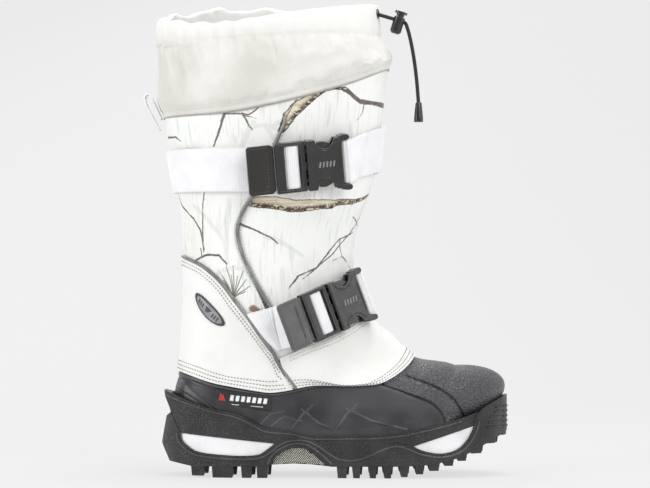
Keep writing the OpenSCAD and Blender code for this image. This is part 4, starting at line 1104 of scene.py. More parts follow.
# ---- sole ----------------------------------------------------------------------------------------
cad_copy("outsole_moulded", "outsole", M["tread"], 0.7, 2)
cad_copy("midsole_band", "midsole", M["band"], 0.8, 3)
cad_copy("heel_insert", "heel_wedge", M["insert"], 0.8, 3)
cad_copy("forefoot_insert", "forefoot_wedge", M["insert"], 0.8, 3)
cad_copy("arch_window", "arch_bridge", M["arch"], 0.4, 2)
cad_copy("shank_plate", "shank", M["steel"], 0.3, 2)


def ray_tree(node):
    src = frame["nodes"][node]
    return BVHTree.FromPolygons([src.matrix_world @ v.co for v in src.data.vertices],
                                [p.vertices[:] for p in src.data.polygons])


TREES = {node: ray_tree(node) for node in ("outsole", "midsole", "arch_bridge")}
RAY = 200.0             # rays start this far out


def on_surface(node, starts, aims, lift):
    """Points where rays meet a CAD node, lifted off it; all in millimetres. Misses are dropped."""
    out = []
    for q, d in zip(starts, aims):
        hit, normal, _, _ = TREES[node].ray_cast(Vector(np.asarray(q, float) * MM), Vector(d))
        if hit is not None:
            out.append(np.array(hit) / MM + np.array(normal) * lift)
    return np.array(out).reshape(-1, 3)


def on_side(node, points, side, lift):
    """Side-view points cast on to one side of a node: side 1 is the outer side of the boot."""
    return on_surface(node, [[q[0], -RAY * side, q[2]] for q in points], [[0, side, 0]] * len(points), lift)


def side_bead(name, node, line, radius, side):
    """Raised bead that follows a side-view line on one side of the sole."""
    flat = resample(np.insert(smooth(line, 8), 1, 0, axis=1), 1.1)
    tube(name, on_side(node, flat, side, 0.15), radius, M["bead"], 10)


# beads on the sole, [x, z] in the side view
HEEL_RIM = [[-84, 40], [-82.5, 33], [-76, 25.5], [-63.5, 19.6], [-33, 16.8], [-10, 17.6], [0.5, 22.5],
            [8, 28.5]]
FORE_RIM = [[128, 25.4], [139, 21], [155.8, 18.8], [171.5, 22.6], [181.8, 31.6], [188, 43], [190, 51]]
WAVE_RIM = [[8, 28.5], [17, 32.8], [30, 33.8], [42.5, 29.8], [58, 19.4], [66, 16.4], [77, 16], [89, 19.4],
            [105, 26.6], [116.5, 28.8], [128, 25.4]]
ARCH_RIM = [[-1.2, 12.4], [2.2, 19.4], [8.6, 25.4], [21, 30.8], [34.2, 30], [46.4, 22.2], [57, 12.6]]
BAND_RIM = [[-93, 73], [-66, 63.6], [-51, 59], [-31, 54.8], [-16, 48], [-5, 42.4], [4, 40.8], [22, 39.2],
            [38, 35.2], [73, 35.4], [99, 36], [126, 39.2], [158, 46.4], [174, 50.8]]
SIDES = ((1, "outer"), (-1, "inner"))
for side, tag in SIDES:
    for rim_name, line in (("heel", HEEL_RIM), ("fore", FORE_RIM), ("wave", WAVE_RIM), ("arch", ARCH_RIM)):
        side_bead("outsole_bead_" + rim_name + "_" + tag, "outsole", line, 1.0, side)
    side_bead("band_bead_" + tag, "midsole", BAND_RIM, 0.8, side)


def arch_ribs():
    """Fine slanted ribs moulded on both faces of the arch window."""
    ribs = []
    for side in (1, -1):
        for x0 in 2 + 1.9 * np.arange(-14, 34):
            line = [[x0 + 0.8 * h, 0, 10.5 + h] for h in np.arange(0, 21, 1.0)]
            rim = np.interp([q[0] for q in line], *np.transpose(ARCH_RIM)) - 2.4
            inside = [q for q, top in zip(line, rim) if q[2] < top and 0 < q[0] < 56]
            pts = on_side("arch_bridge", inside, side, 0.1)
            if len(pts) > 2:
                ribs.append(tube_grid(pts, 0.42, 6))
    rods("arch_ribs", ribs, M["arch_rib"])


def toe_ribs():
    """Level ribs moulded round the toe bumper."""
    ribs = []
    centre = 150            # the rays run in towards this point of the sole
    turns = np.radians(np.arange(-62, 62.1, 2.5))
    for z in (43, 47.5, 52, 56.5, 61):
        starts = [[centre + RAY * math.cos(q), RAY * math.sin(q), z + 2.0 * math.cos(q)] for q in turns]
        pts = on_surface("outsole", starts, [[-math.cos(q), -math.sin(q), 0] for q in turns], 0.1)
        ribs.append(tube_grid(pts[pts[:, 0] > 196 + (z - 43) * 0.55], 0.95, 8))
    rods("toe_bumper_ribs", ribs, M["tread"])


arch_ribs()
toe_ribs()

# ---- leather -------------------------------------------------------------------------------------
def ripple(p, amp, length, seed=0.0):
    """Soft waves over the form, in millimetres."""
    x, y, z = (p[..., k] / length for k in range(3))
    broad = np.sin(x * 2.1 + 1.3 * np.sin(z * 1.7 + seed) + seed)
    broad = broad * np.sin(z * 2.3 + 0.8 * np.sin(y * 1.9) + 2 * seed)
    return amp * (broad + 0.5 * np.sin(x * 4.3 + y * 3.1 + seed * 3) * np.sin(z * 4.9 + seed))


def leather_relief(p, t, phi):
    return ripple(p, 0.18, 11, 0.7) + 0.1


phi_q = spread(-QUARTER_END + 0.12, QUARTER_END - 0.12, 190)
sheet("heel_quarter_leather", phi_q, quarter_t(phi_q), np.maximum(rubber_t(phi_q), quarter_t(phi_q) + 0.06),
      LEATHER_IN, LEATHER_OUT, 56, M["leather"], ["heel_quarter"], "leather_white", relief=leather_relief,
      edge=1.4)


def seam_drop(curve, phi, mm):
    """Sections down a column that clear a seam by mm square to it."""
    run = skin(curve(phi + 0.5), phi + 0.5) - skin(curve(phi - 0.5), phi - 0.5)
    steep = np.minimum(np.abs(unit(run)[:, 2]), 0.93)
    return mm / np.sqrt(1 - steep ** 2) / section_height(curve(phi), phi)


def vamp_low(phi):
    beside = quarter_t(phi) - seam_drop(quarter_t, phi, 2 * PIPING_R + 0.2)
    near = np.where(mirrored(phi) < QUARTER_END + 12, beside, 99)
    return np.maximum(np.minimum(near, rubber_t(phi)), vamp_t(phi) + 0.05)


def vamp_relief(p, t, phi):
    crease = np.zeros(t.shape)
    for line in ([[58, 108], [96, 132]], [[50, 98], [92, 118]], [[66, 92], [100, 104]]):
        d, along = line_distance(p, line)
        crease -= 0.35 * np.exp(-(d / 2.2) ** 2) * np.sin(np.clip(along, 0, 1) * math.pi)
    return crease + ripple(p, 0.2, 12, 2.1)


phi_v = spread(VAMP_FROM + 2, 358 - VAMP_FROM, 190)
sheet("vamp_leather", phi_v, vamp_t(phi_v), vamp_low(phi_v), LEATHER_IN, LEATHER_OUT, 56, M["leather"],
      ["vamp"], "leather_white", relief=vamp_relief, edge=1.4)

# ---- shaft ---------------------------------------------------------------------------------------
TUCK = 0.12


def fabric_low(phi):
    return np.minimum(quarter_t(phi), vamp_t(phi)) + TUCK


def panel_spots(a, centre, width, low, reach):
    """Places on a shaft panel for its columns a, -1 to 1; its side edges lie reach(t) from its centre."""
    def spots(f):
        col = np.broadcast_to(a[:, None], f.shape)
        phi = centre + col * width
        for _ in range(6):
            top = collar_t(phi)
            phi = centre + col * reach(top + (low(phi) - top) * f)
        top = collar_t(phi)
        return top + (low(phi) - top) * f, phi
    return spots


def shaft_relief(p, t, phi):
    bend = np.exp(-((p[..., 2] - 205) / 34) ** 2) * np.exp(-((mirrored(phi) - 165) / 38) ** 2)
    folds = np.sin(p[..., 2] * 0.36 + 0.02 * p[..., 1] + 1.2 * np.sin(p[..., 1] * 0.06))
    puff = 0.25 * np.sin(mirrored(phi) * 0.06)
    return ripple(p, 0.28, 19, 4.2) + 0.5 * bend * folds + puff - 0.1


a_cols = spread(-1, 1, 150)
SEAM_GAP = 0.3          # degrees between each panel and the seam
rear_spots = panel_spots(a_cols, 0, 70, fabric_low, lambda t: shaft_phi(t) - SEAM_GAP)
front_spots = panel_spots(a_cols, 180, 100, lambda phi: vamp_t(phi) + TUCK,
                          lambda t: 180 - shaft_phi(t) - SEAM_GAP)
for name, phi, low_end, rows, spots in (("rear", 70 * a_cols, 6.0, 90, rear_spots),
                                        ("front", 180 + 100 * a_cols, 8.0, 100, front_spots)):
    sheet("shaft_" + name + "_fabric", phi, 3.0, low_end, -FABRIC, 0, rows, M["print"],
          ["shaft_" + name + "_panel"], "shaft_fabric", relief=shaft_relief, edge=0.8, spots=spots,
          inner_rows=20)

phi_in = np.arange(0, 360, 3.0)
ends = collar_t(phi_in) + 0.02, rubber_t(phi_in) - SHELL_LAP - 0.22
sheet("shaft_foam_layer", phi_in, *ends, FOAM_IN, FOAM_OUT, 40, M["foam"], ["shaft_foam"], "foam_laminate",
      wrap=True)
sheet("shaft_lining_knit", phi_in, *ends, LINING_IN, LINING_OUT, 40, M["lining"], ["shaft_lining"],
      "lining_fabric", wrap=True, inner_rows=60)

# piping along both seams
a = spread(-QUARTER_END, QUARTER_END, 260)
run = skin(quarter_t(a + 0.5), a + 0.5) - skin(quarter_t(a - 0.5), a - 0.5)
up = unit(np.cross(outward(quarter_t(a), a), run))
quarter_path = skin(quarter_t(a), a, PIPING_AT) + up * (PIPING_R + 0.1)
tube("quarter_piping_cord", resample(quarter_path, 1.2), PIPING_R, M["piping"], 12,
     nodes=["quarter_piping"])
SEAM_FOOT = float(vamp_t(shaft_phi(9.5))) - 0.1         # where the shaft's seam goes under the vamp
ts = spread(3.62, SEAM_FOOT, 200)
for side, tag in SIDES:
    path = skin(ts, side * shaft_phi(ts), PIPING_AT - 0.15)
    tube("shaft_piping_" + tag, resample(path, 1.2), PIPING_R, M["piping"], 12,
         nodes=["shaft_piping"] if side > 0 else ())

# ---- straps --------------------------------------------------------------------------------------
JOINTS = {j["name"]: j for j in frame["joints"]}


class BuckleFrame:
    """Buckle's own axes, read from the CAD's joints: x forward, y up across the strap, n outward."""
    PRONG_ROOT = (-7.6, 13, 2.9)        # where the top prong bends, in this frame

    def __init__(self, tag):
        slide, lift, squeeze = (JOINTS[tag + k] for k in ("_latch_slide", "_tab_lift", "_prong_squeeze"))
        self.x = -np.array(slide["axis"], float)
        self.y = np.array(lift["axis"], float)
        self.n = -np.array(squeeze["axis"], float)
        x, y, z = self.PRONG_ROOT
        self.p = np.array(squeeze["pos_m"], float) / MM - self.x * x - self.y * y - self.n * z

    def at(self, x, y, z):
        x, y, z = (np.asarray(v, float)[..., None] for v in (x, y, z))
        return self.p + self.x * x + self.y * y + self.n * z


STRAP_W, WEB = 39.0, 1.6
ACROSS = np.array([-1, -0.985, -0.94, -0.8, -0.5, -0.17, 0.17, 0.5, 0.8, 0.94, 0.985, 1])
EDGE_THIN = np.array([0.25, 0.62, 0.92, 1, 1, 1, 1, 1, 1, 0.92, 0.62, 0.25])        # thickness across


def form_sections(phi, line, half, tuck=False):
    """Inner and outer points of a strap on the form: arrays (stations, across, 3).

    A tucked strap starts along the slanted quarter seam and lies flat on the fabric there.
    """
    phi = np.asarray(phi, float)
    dz = ACROSS * half
    start = 1 - np.linspace(0, 1, len(phi))[:, None] if tuck else np.zeros((len(phi), 1))
    ang = phi[:, None] + start * (3.5 - 8.5 * ACROSS[None])
    t = below(mirrored(ang), line, 2.5, 12, dz[None])
    sink = (STRAP_IN + 0.1) * np.clip(start * 2 - 1, 0, 1) ** 1.5
    return skin(t, ang, STRAP_IN - sink), skin(t, ang, STRAP_OUT - sink)


def local_sections(fr, stations, thick=WEB, width=STRAP_W):
    """Stations as (x, z, dx, dz) in the buckle's frame."""
    x, z, dx, dz = (v[:, None] for v in np.asarray(stations, float).T)
    y = np.broadcast_to(ACROSS * width / 2, (len(x), len(ACROSS)))
    return tuple(fr.at(x - e * dz + 0 * y, y, z + e * dx + 0 * y) for e in (-thick / 2, thick / 2))


def webbing(name, inner, outer, body, node, rib=0.15, smooth_n=4):
    """Ribbed webbing through stations; each station is a row of points across the strap."""
    step = 0.42
    k = inner.shape[1]
    both = np.concatenate([inner, outer], 1).reshape(len(inner), -1)
    if smooth_n > 1:
        both = smooth(both, smooth_n)
    inner, outer = np.split(both.reshape(len(both), 2 * k, 3), 2, axis=1)
    mid = (inner + outer) / 2
    s = run_length(mid.mean(1))
    at = np.arange(0, s[-1], step)
    mid, out = (columns_at(at, s, v.reshape(len(v), -1)).reshape(len(at), -1, 3) for v in (mid, outer))
    half = np.linalg.norm(out - mid, axis=-1, keepdims=True)
    wave = np.cos(at * 2 * math.pi / RIB_PITCH)[:, None, None] * rib
    rise = unit(out - mid) * (half - rib + wave) * EDGE_THIN[None, :, None]
    loop = np.concatenate([mid + rise, (mid - rise)[:, ::-1]], 1)
    n, m = loop.shape[:2]
    obj = new_piece(name, loop.reshape(-1, 3), rod_faces(n, m), M["webbing"], body, [node])
    y = np.concatenate([ACROSS, ACROSS[::-1]]) * STRAP_W / 2 * MM
    vector_attribute(obj, "strap", np.repeat(at * MM, m), np.tile(y, n), np.zeros(n * m))
    return obj


# the body's bar, the strap's turn round it and the body's thickness, in the buckle's frame
BAR_X, BAR_TURN, BUCKLE_T = 28.4, 2.6, 10.4
LATCH_END = -46         # the rear strap rides on the latch from here on


TAIL_LOOP = [(-44, 1.05), (-36, 1.05), (-30, 1.05), (-24, 1.1), (-19, 1.3), (-16.6, 2.0), (-15.4, 3.3),
             (-15.3, 4.6), (-16.2, 5.8), (-18, 6.5), (-21, 6.7), (-24, 6.55), (-26, 5.9), (-27.3, 4.6),
             (-28.6, 3.3), (-31, 2.85), (-36.2, 2.85)]


def build_straps(tag, line, half, front_from, rear_from, rear_to, rear_rows, bend_from):
    fr = BuckleFrame(tag)
    # front strap: round the buckle's bar, then along the form to the inner side
    turn = np.radians(np.arange(-90, -271, -20))
    wrap = [(BAR_X + 7, 1.7, -1, 0)]
    wrap += [(BAR_X + BAR_TURN * math.cos(q), BUCKLE_T / 2 + BAR_TURN * math.sin(q), math.sin(q), -math.cos(q))
             for q in turn]
    wrap += [(BAR_X + 5, BUCKLE_T / 2 + 2, 1, -0.2)]
    at_buckle = local_sections(fr, wrap)
    on_form = form_sections(spread(front_from, 270, 60), line, half)
    webbing(tag + "_front_webbing", *np.concatenate([at_buckle, on_form], 1), "boot", tag + "_strap_front")
    # rear strap: along the form, then flat to the latch; it bends between its two ends as the latch slides
    on_form = form_sections(spread(rear_from, rear_to, rear_rows), line, half, tuck=rear_from > 0)
    at_latch = local_sections(fr, [(LATCH_END + 1.4, 1.05, 1, 0)])
    rear = webbing(tag + "_rear_webbing", *np.concatenate([on_form, at_latch], 1), None, tag + "_strap_rear")
    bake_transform(rear, "boot", tag + "_latch", tuple(fr.at(bend_from, 0, 0) * MM), tuple(fr.at(LATCH_END, 0, 0) * MM))
    # tail: under the latch, round its middle bar and back
    pts = np.array(TAIL_LOOP)
    stations = np.hstack([pts, unit(np.gradient(pts, axis=0))])
    webbing(tag + "_tail_webbing", *local_sections(fr, stations, 1.4, STRAP_W - 0.4), tag + "_latch",
            tag + "_strap_tail", smooth_n=2)
    return fr


# the lower strap runs at 20 degrees to the form's sections and starts at the quarter's seam
SLANT = math.cos(math.radians(20))
FR = {"upper": build_straps("upper", UPPER_LINE, STRAP_W / 2, 144, -89.5, 88, 70, -108),
      "lower": build_straps("lower", LOWER_LINE, STRAP_W / 2 / SLANT, 170, 78, 92, 16, -66)}

# ---- buckles -------------------------------------------------------------------------------------
def raised(outlines, place, low, high, ease, shrink):
    """Stacks for flat motifs: an outline of [x, y] rises from low to high and narrows over the last ease."""
    stacks = []
    for q in (np.asarray(outline, float) for outline in outlines):
        inner = q.mean(0) + (q - q.mean(0)) * shrink(q)
        levels = ((q, low), (q, high - ease), (inner, high))
        stacks.append(np.stack([place(*ring.T, np.full(len(q), z)) for ring, z in levels]))
    return stacks


def buckle_relief(name, fr, outlines, low, high, mat, body):
    """Raised shapes on a buckle's face: outlines as [x, y] in the buckle's frame, from z low to z high."""
    ease = 0.3
    stacks = raised(outlines, fr.at, low, high, ease, lambda q: 1 - 2 * ease / np.ptp(q, 0).max())
    rods(name, stacks, mat, body, sharp=40)


def arc(x, y, r, degrees):
    a = np.radians(degrees)
    return np.stack([x + r * np.cos(a), y + r * np.sin(a)], -1)


def rails(fr, name, mat, body, z, lines, r):
    """Rounded ribs on a buckle's face, along lines of [x, y]."""
    ribs = []
    for line in lines:
        flat = resample(np.insert(np.asarray(line, float), 2, 0, axis=1), 1.0)
        ribs.append(tube_grid(fr.at(flat[:, 0], flat[:, 1], np.full(len(flat), z)), r, 8))
    rods(name, ribs, mat, body)


MARKS = [[[x - 1.2, -2.6], [x + 0.5, -2.6], [x + 1.6, 2.6], [x - 0.1, 2.6]]
         for x in (3, 6.2, 9.4, 12.6, 15.8)]
DOTS = [arc(-43.4, y, 0.75, np.arange(0, 360, 30)) for y in np.arange(-15, 15.1, 2.5)]
# round the body's two finger notches, and across its two ends
BODY_RIMS = [arc(8.6, s * 23.7, 11.4, s * np.linspace(200, 340, 24)) for s in (1, -1)]
BODY_RIMS += [[[-7, -20.5], [-7, 20.5]], [[22.5, -13], [22.5, 13]]]
LATCH_RIMS = [[[-34.6, -20.6], [-11.6, -20.6], [-11.6, 20.6], [-34.6, 20.6], [-34.6, -20.6]]]
TAB_RIMS = [[[-43, -19.6], [-60.4, -19.6], [-60.4, 19.6], [-43, 19.6]]]
LATCH_FACE, TAB_FACE = 8.05, 4.75       # heights of the ribs' centre lines in the buckle's frame

for tag, tab, tab_slot in (("upper", M["tab_dark"], "tab_brown"), ("lower", M["tab_grey"], "tab_grey")):
    fr = FR[tag]
    cad_copy(tag + "_buckle_shell", tag + "_buckle_body", M["body"], 1.0, 4)
    cad_copy(tag + "_latch_frame", tag + "_buckle_latch", M["latch"], 0.8, 4)
    cad_copy(tag + "_spring_prong_top", tag + "_prong_top", M["body"], 0.5, 3)
    cad_copy(tag + "_spring_prong_bottom", tag + "_prong_bottom", M["body"], 0.5, 3)
    cad_copy(tag + "_pull_tab", tag + "_strap_tab", tab, 0.6, 3)
    buckle_relief(tag + "_body_marks", fr, MARKS, BUCKLE_T - 0.4, BUCKLE_T + 0.45, M["mark"], "boot")
    rails(fr, tag + "_body_rims", M["body"], "boot", BUCKLE_T - 0.15, BODY_RIMS, 0.7)
    rails(fr, tag + "_latch_rims", M["latch"], tag + "_latch", LATCH_FACE, LATCH_RIMS, 0.55)
    buckle_relief(tag + "_tab_dots", fr, DOTS, TAB_FACE - 0.15, TAB_FACE + 0.5, tab, tag + "_tab")
    rails(fr, tag + "_tab_rims", tab, tag + "_tab", TAB_FACE, TAB_RIMS, 0.5)

# ---- snow collar ---------------------------------------------------------------------------------
COLLAR_OUT, HEM_IN = 1.6, -4.6
COLLAR_ROWS = 46
phi_c = np.arange(0, 360, 1.25)


def gathers(phi, t):
    """Small pleats under the cord, stronger behind than in front."""
    rear = 0.35 + 0.65 * np.clip(np.cos(np.radians(mirrored(phi))) * 0.9 + 0.55, 0, 1)
    a = np.radians(phi)
    pleat = (np.sin(33 * a + 1.4 * np.sin(5 * a)) + 0.7 * np.sin(51 * a + 2.1 * np.sin(7 * a) + 1)
             + 0.4 * np.sin(77 * a + 0.5))
    fade = np.exp(-np.maximum(t - 1.0, 0) / 0.45) * (0.55 + 0.45 * np.exp(-((t - 0.95) / 0.35) ** 2))
    return 0.85 * pleat * rear * fade


def rim_rise(t, phi):
    """The limp top edge sags on the outer side and stands higher behind the inner side, in millimetres."""
    turn = np.asarray(phi, float) % 360
    a = np.radians(turn)
    sag = -6.5 * np.exp(-((turn - 62) / 34) ** 2)
    stand = 17 * np.exp(-((turn - 288) / 52) ** 2) + 2.2 * np.sin(a * 11) * np.exp(-((turn - 300) / 55) ** 2)
    crumple = 1.1 * np.sin(a * 23 + 1.3 * np.sin(a * 5)) * np.clip(np.cos(a) + 0.35, 0, 1)
    return (sag + stand + crumple) * np.clip(1 - np.asarray(t, float) / 2.4, 0, 1.05) ** 2


def rim_skin(t, phi, o):
    """Form with the collar's soft rim."""
    t, phi, o = np.broadcast_arrays(np.asarray(t, float), np.asarray(phi, float), np.asarray(o, float))
    p = skin(t, phi, o)
    p[..., 2] += rim_rise(t, phi)
    return p


def collar_shape():
    """Outer face of the collar as (section, offset) grids before any simulation."""
    top = 0.03
    f = np.linspace(0, 1, COLLAR_ROWS) ** 1.15
    ph = np.broadcast_to(phi_c[:, None], (len(phi_c), COLLAR_ROWS))
    t = top + (collar_t(ph) + 0.1 - top) * f
    tunnel = 0.9 * np.exp(-((t - 0.38) / 0.34) ** 2) - 1.1 * np.exp(-((t - 0.96) / 0.075) ** 2)
    a = np.radians(ph)
    folds = 0.55 * np.sin(t * 5.2 + 1.6 * np.sin(3 * a + 0.4) + 0.9 * np.sin(5 * a + 2))
    folds = folds * np.clip(t - 1.1, 0, 1)
    foot = np.exp(-((collar_t(ph) - t) / 0.09) ** 2)
    o = COLLAR_OUT + tunnel + gathers(ph, t) + folds * (1 - foot) - 0.4 * foot
    return ph, t, o


def settle_cloth(points, pinned, shrink, cap):
    """Runs a short cloth simulation on a closed ring of fabric; no point moves further than cap."""
    frames = 22
    n, m = points.shape[:2]
    mesh = bpy.data.meshes.new("cloth_work")
    mesh.from_pydata((points.reshape(-1, 3) * MM).tolist(), [], grid_faces(n, m, True))
    work = bpy.data.objects.new("cloth_work", mesh)
    scene.collection.objects.link(work)
    group = work.vertex_groups.new(name="pin")
    for w in (1.0, 0.5):
        group.add(np.flatnonzero(np.abs(pinned.ravel() - w) < 0.01).tolist(), w, "REPLACE")
    mod = work.modifiers.new("cloth", "CLOTH")
    s = mod.settings
    s.quality = 6
    s.mass = 0.12
    s.tension_stiffness = s.compression_stiffness = 12
    s.shear_stiffness = 6
    s.bending_stiffness = 0.35
    s.vertex_group_mass = "pin"
    s.pin_stiffness = 1.0
    s.shrink_min = shrink
    s.effector_weights.gravity = 0
    mod.collision_settings.use_collision = False
    for frame_no in range(1, frames + 1):
        scene.frame_set(frame_no)
    deps = bpy.context.evaluated_depsgraph_get()
    done = work.evaluated_get(deps).to_mesh()
    co = np.zeros(len(done.vertices) * 3)
    done.vertices.foreach_get("co", co)
    work.evaluated_get(deps).to_mesh_clear()
    scene.frame_set(1)
    bpy.data.objects.remove(work)
    moved = co.reshape(n, m, 3) / MM - points
    size = np.linalg.norm(moved, axis=-1, keepdims=True)
    return points + moved * np.minimum(1, cap / np.maximum(size, 1e-6))


ph, t_out, o_out = collar_shape()
outer = rim_skin(t_out, ph, o_out)
pinned = np.where(t_out < 1.0, 1.0, 0.0)
pinned[:, -3:] = 1.0
outer = settle_cloth(outer, pinned, -0.06, cap=2.8)
inner_face = outer - outward(t_out, ph) * 1.0
# over the top edge, down the inner hem and back under it
edge_t = np.array([0.02, -0.02, -0.035, -0.03, 0.0, 0.06])
edge_o = np.array([1.1, 0.3, -1.2, -2.8, -4.0, -4.6])
hem_t = np.linspace(0.15, 0.95, 12)
col_c = phi_c[:, None]
pleats = gathers(col_c, 1.0)
over = rim_skin(edge_t - 0.004 * pleats, col_c, edge_o + 0.6 * pleats * np.linspace(1, 0.4, len(edge_t)))
hem = rim_skin(hem_t, col_c, HEM_IN - 0.25 * pleats)
hem_back = rim_skin(hem_t[::-1], col_c, HEM_IN + 1.0 - 0.25 * pleats)
inside = rim_skin(t_out[:, :1] + 0.07, col_c, -2.0)
loop = np.concatenate([outer[:, ::-1], over, hem, hem_back, inside, inner_face[:, 4::3]], 1)
n, m = loop.shape[:2]
collar = new_piece("snow_collar_nylon", loop.reshape(-1, 3), grid_faces(n, m, True, True), M["nylon"], "boot",
                   ["snow_collar"])
vector_attribute(collar, "leg", np.repeat((phi_c - 90) * 1.25 * MM, m), loop.reshape(-1, 3)[:, 2] * MM,
                 np.zeros(n * m))

# ---- cord, lock and pull loop --------------------------------------------------------------------
TUNNEL_T, EYELET_PHI = 0.34, 168
eyelet = skin(TUNNEL_T, EYELET_PHI, COLLAR_OUT)
lock_at = eyelet + np.array([20.0, -1, -6])
cord_dir = unit(lock_at - eyelet)
tail_pts = smooth([lock_at + cord_dir * 6.5, lock_at + [9.5, -2, -13], lock_at + [13, -2, -30],
                   lock_at + [16, -2, -52], lock_at + [18, -2, -76]], 8)
hang = resample(np.vstack([eyelet - cord_dir * 1.2, lock_at - cord_dir * 8, lock_at, tail_pts]), 0.45)
# a running mean takes the corners out of the cord
hang = np.stack([np.convolve(np.pad(v, 6, mode="edge"), np.ones(13) / 13, "valid") for v in hang.T], -1)
tube("drawcord_tail", hang, braid(hang, 1.72, 16), M["cord"], 16, nodes=["drawcord"])
ring_phi = np.arange(0, 360, 1.0)
inside_ring = resample(rim_skin(TUNNEL_T, ring_phi, -1.5), 0.9, closed=True)
tube("drawcord_ring", inside_ring, 1.4, M["cord"], 8, closed=True)
cad_copy("cord_eyelet", "drawcord_eyelet", M["gloss"], 0.25, 2)
cad_copy("lock_barrel_body", "lock_barrel", M["gloss"], 0.5, 3)
cad_copy("lock_button_cap", "lock_plunger", M["gloss"], 0.4, 3)
coil = cad_copy("lock_coil", "lock_spring", M["steel"], 0)
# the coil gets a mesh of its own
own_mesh(coil)
cad_copy("cord_bell_end", "cord_bell", M["gloss"], 0.5, 3)

LOOP_HALF_W, LOOP_HALF_T = 9.0, 0.85
root_x = skin(3.0, 0.0, COLLAR_OUT)[0] - 0.9
line = smooth([[root_x + dx, z] for dx, z in ((0, 326), (-4, 335), (-9.5, 346), (-13, 349), (-15.5, 345.5),
                                              (-13.5, 338), (-8, 328), (-1.6, 316))], 6)
d = unit(np.gradient(line, axis=0))


def loop_face(half_t):
    """One face of the pull loop, half_t from its middle."""
    x, z = ((line + half_t * np.stack([-d[:, 1], d[:, 0]], -1))[:, k, None] for k in (0, 1))
    return np.stack(np.broadcast_arrays(x, ACROSS * LOOP_HALF_W, z), -1)


webbing("heel_pull_loop", loop_face(-LOOP_HALF_T), loop_face(LOOP_HALF_T), "boot", "pull_loop", rib=0.12,
        smooth_n=1)

# ---- liner, insole -------------------------------------------------------------------------------
LINER_TOP, LINER_GAP = 3.2, 1.5


def liner_out(t, phi):
    f = np.clip((t - rubber_t(phi) - 0.1) / 1.5, 0, 1)
    return (LINING_IN - LINER_GAP) * (1 - f) - (RUBBER_WALL + LINER_GAP) * f


phi_l = np.arange(0, 360, 3.0)
toe_cup("felt_liner", phi_l, np.full(phi_l.shape, LINER_TOP), 60, 16, liner_out,
        lambda t, phi: liner_out(t, phi) - LINER_WALL, M["felt"], ["inner_boot"], rim=5,
        body="liner")
INSOLE_OUT = -RUBBER_WALL - LINER_GAP - LINER_WALL - 2.9
phi_s = spread(-38, 38, 40)
sheet("insole_pad", phi_s, 13.1, LAST + 0.35, INSOLE_OUT - 3.4, INSOLE_OUT, 60, M["insole"], ["insole"],
      "insole_foam", body="liner", edge=2.0, inner_rows=60)

# ---- badge and label -----------------------------------------------------------------------------
BADGE_T, BADGE_PHI, BADGE_L, BADGE_W, BADGE_SLOPE = 8.4, 48.0, 43.0, 11.5, math.radians(47)
across_deg = np.linalg.norm(skin(BADGE_T, BADGE_PHI + 1) - skin(BADGE_T, BADGE_PHI - 1)) / 2
down_t = np.linalg.norm(skin(BADGE_T + 0.1, BADGE_PHI) - skin(BADGE_T - 0.1, BADGE_PHI)) * 5


def badge_spot(u, v, o):
    """Place on the badge: u along its long axis, v across it, o above the leather, in millimetres."""
    u, v = np.asarray(u, float), np.asarray(v, float)
    x = u * math.cos(BADGE_SLOPE) - v * math.sin(BADGE_SLOPE)
    yy = u * math.sin(BADGE_SLOPE) + v * math.cos(BADGE_SLOPE)
    return skin(BADGE_T + yy / down_t, BADGE_PHI + x / across_deg, LEATHER_OUT + o)


def oval_piece(name, rings, mat, nodes=()):
    """Oval domed piece from rings of (size, offset), outermost underside first; closed with a centre fan."""
    n, m = 72, len(rings)
    a = turn_angles(n)
    rows = [badge_spot(r * BADGE_L / 2 * np.cos(a), r * BADGE_W / 2 * np.sin(a), o) for r, o in rings]
    verts = np.concatenate(rows + [badge_spot(0, 0, rings[-1][1])[None], badge_spot(0, 0, rings[0][1])[None]])
    faces = grid_faces(m, n, False, True)
    faces += [[(m - 1) * n + k, m * n, (m - 1) * n + (k + 1) % n] for k in range(n)]
    faces += [[k, (k + 1) % n, m * n + 1] for k in range(n)]
    new_piece(name, verts, faces, mat, "boot", nodes)


PLATE = [(0.3, 0.4), (0.7, 0.4), (0.97, 0.35), (1.0, 0.5), (1.0, 1.1), (0.97, 1.45), (0.93, 1.5),
         (0.89, 1.35), (0.87, 1.0), (0.6, 1.15), (0.3, 1.25)]
INLAY = [(0.3, 1.0), (0.84, 0.9), (0.86, 1.05), (0.84, 1.35), (0.6, 1.55), (0.3, 1.65)]
oval_piece("badge_plate", PLATE, M["badge_rim"], ["side_badge"])
oval_piece("badge_inlay", INLAY, M["badge"])


def patches(name, outlines, low, high, mat, place):
    """Small raised motifs: outlines in the part's own plane, drawn at offsets low to high."""
    rods(name, raised(outlines, place, low, high, 0.25, lambda q: 0.9), mat, sharp=40)


def motif(u, v, w, h, corners):
    """Outline about u, v; corners as shares of its width and height."""
    return [[u + w * x, v + h * y] for x, y in corners]


def slanted_bar(u, v, w, h, lean):
    k = lean / w
    return motif(u, v, w, h, ((-0.5 - k, -0.5), (0.5 - k, -0.5), (0.5 + k, 0.5), (-0.5 + k, 0.5)))


def peak(u, v, w, h):
    """A generic mountain outline."""
    return motif(u, v, w, h, ((-0.5, -0.5), (-0.16, 0.5), (0, 0.12), (0.14, 0.34), (0.5, -0.5)))


badge_bars = [slanted_bar(u, 0, 1.4, 3.6, 0.4) for u in (-13, -10, -7, 7, 10, 13)]
patches("badge_motif", [peak(0, 0, 8, 4.4)] + badge_bars, 1.2, 2.05, M["badge_rim"], badge_spot)

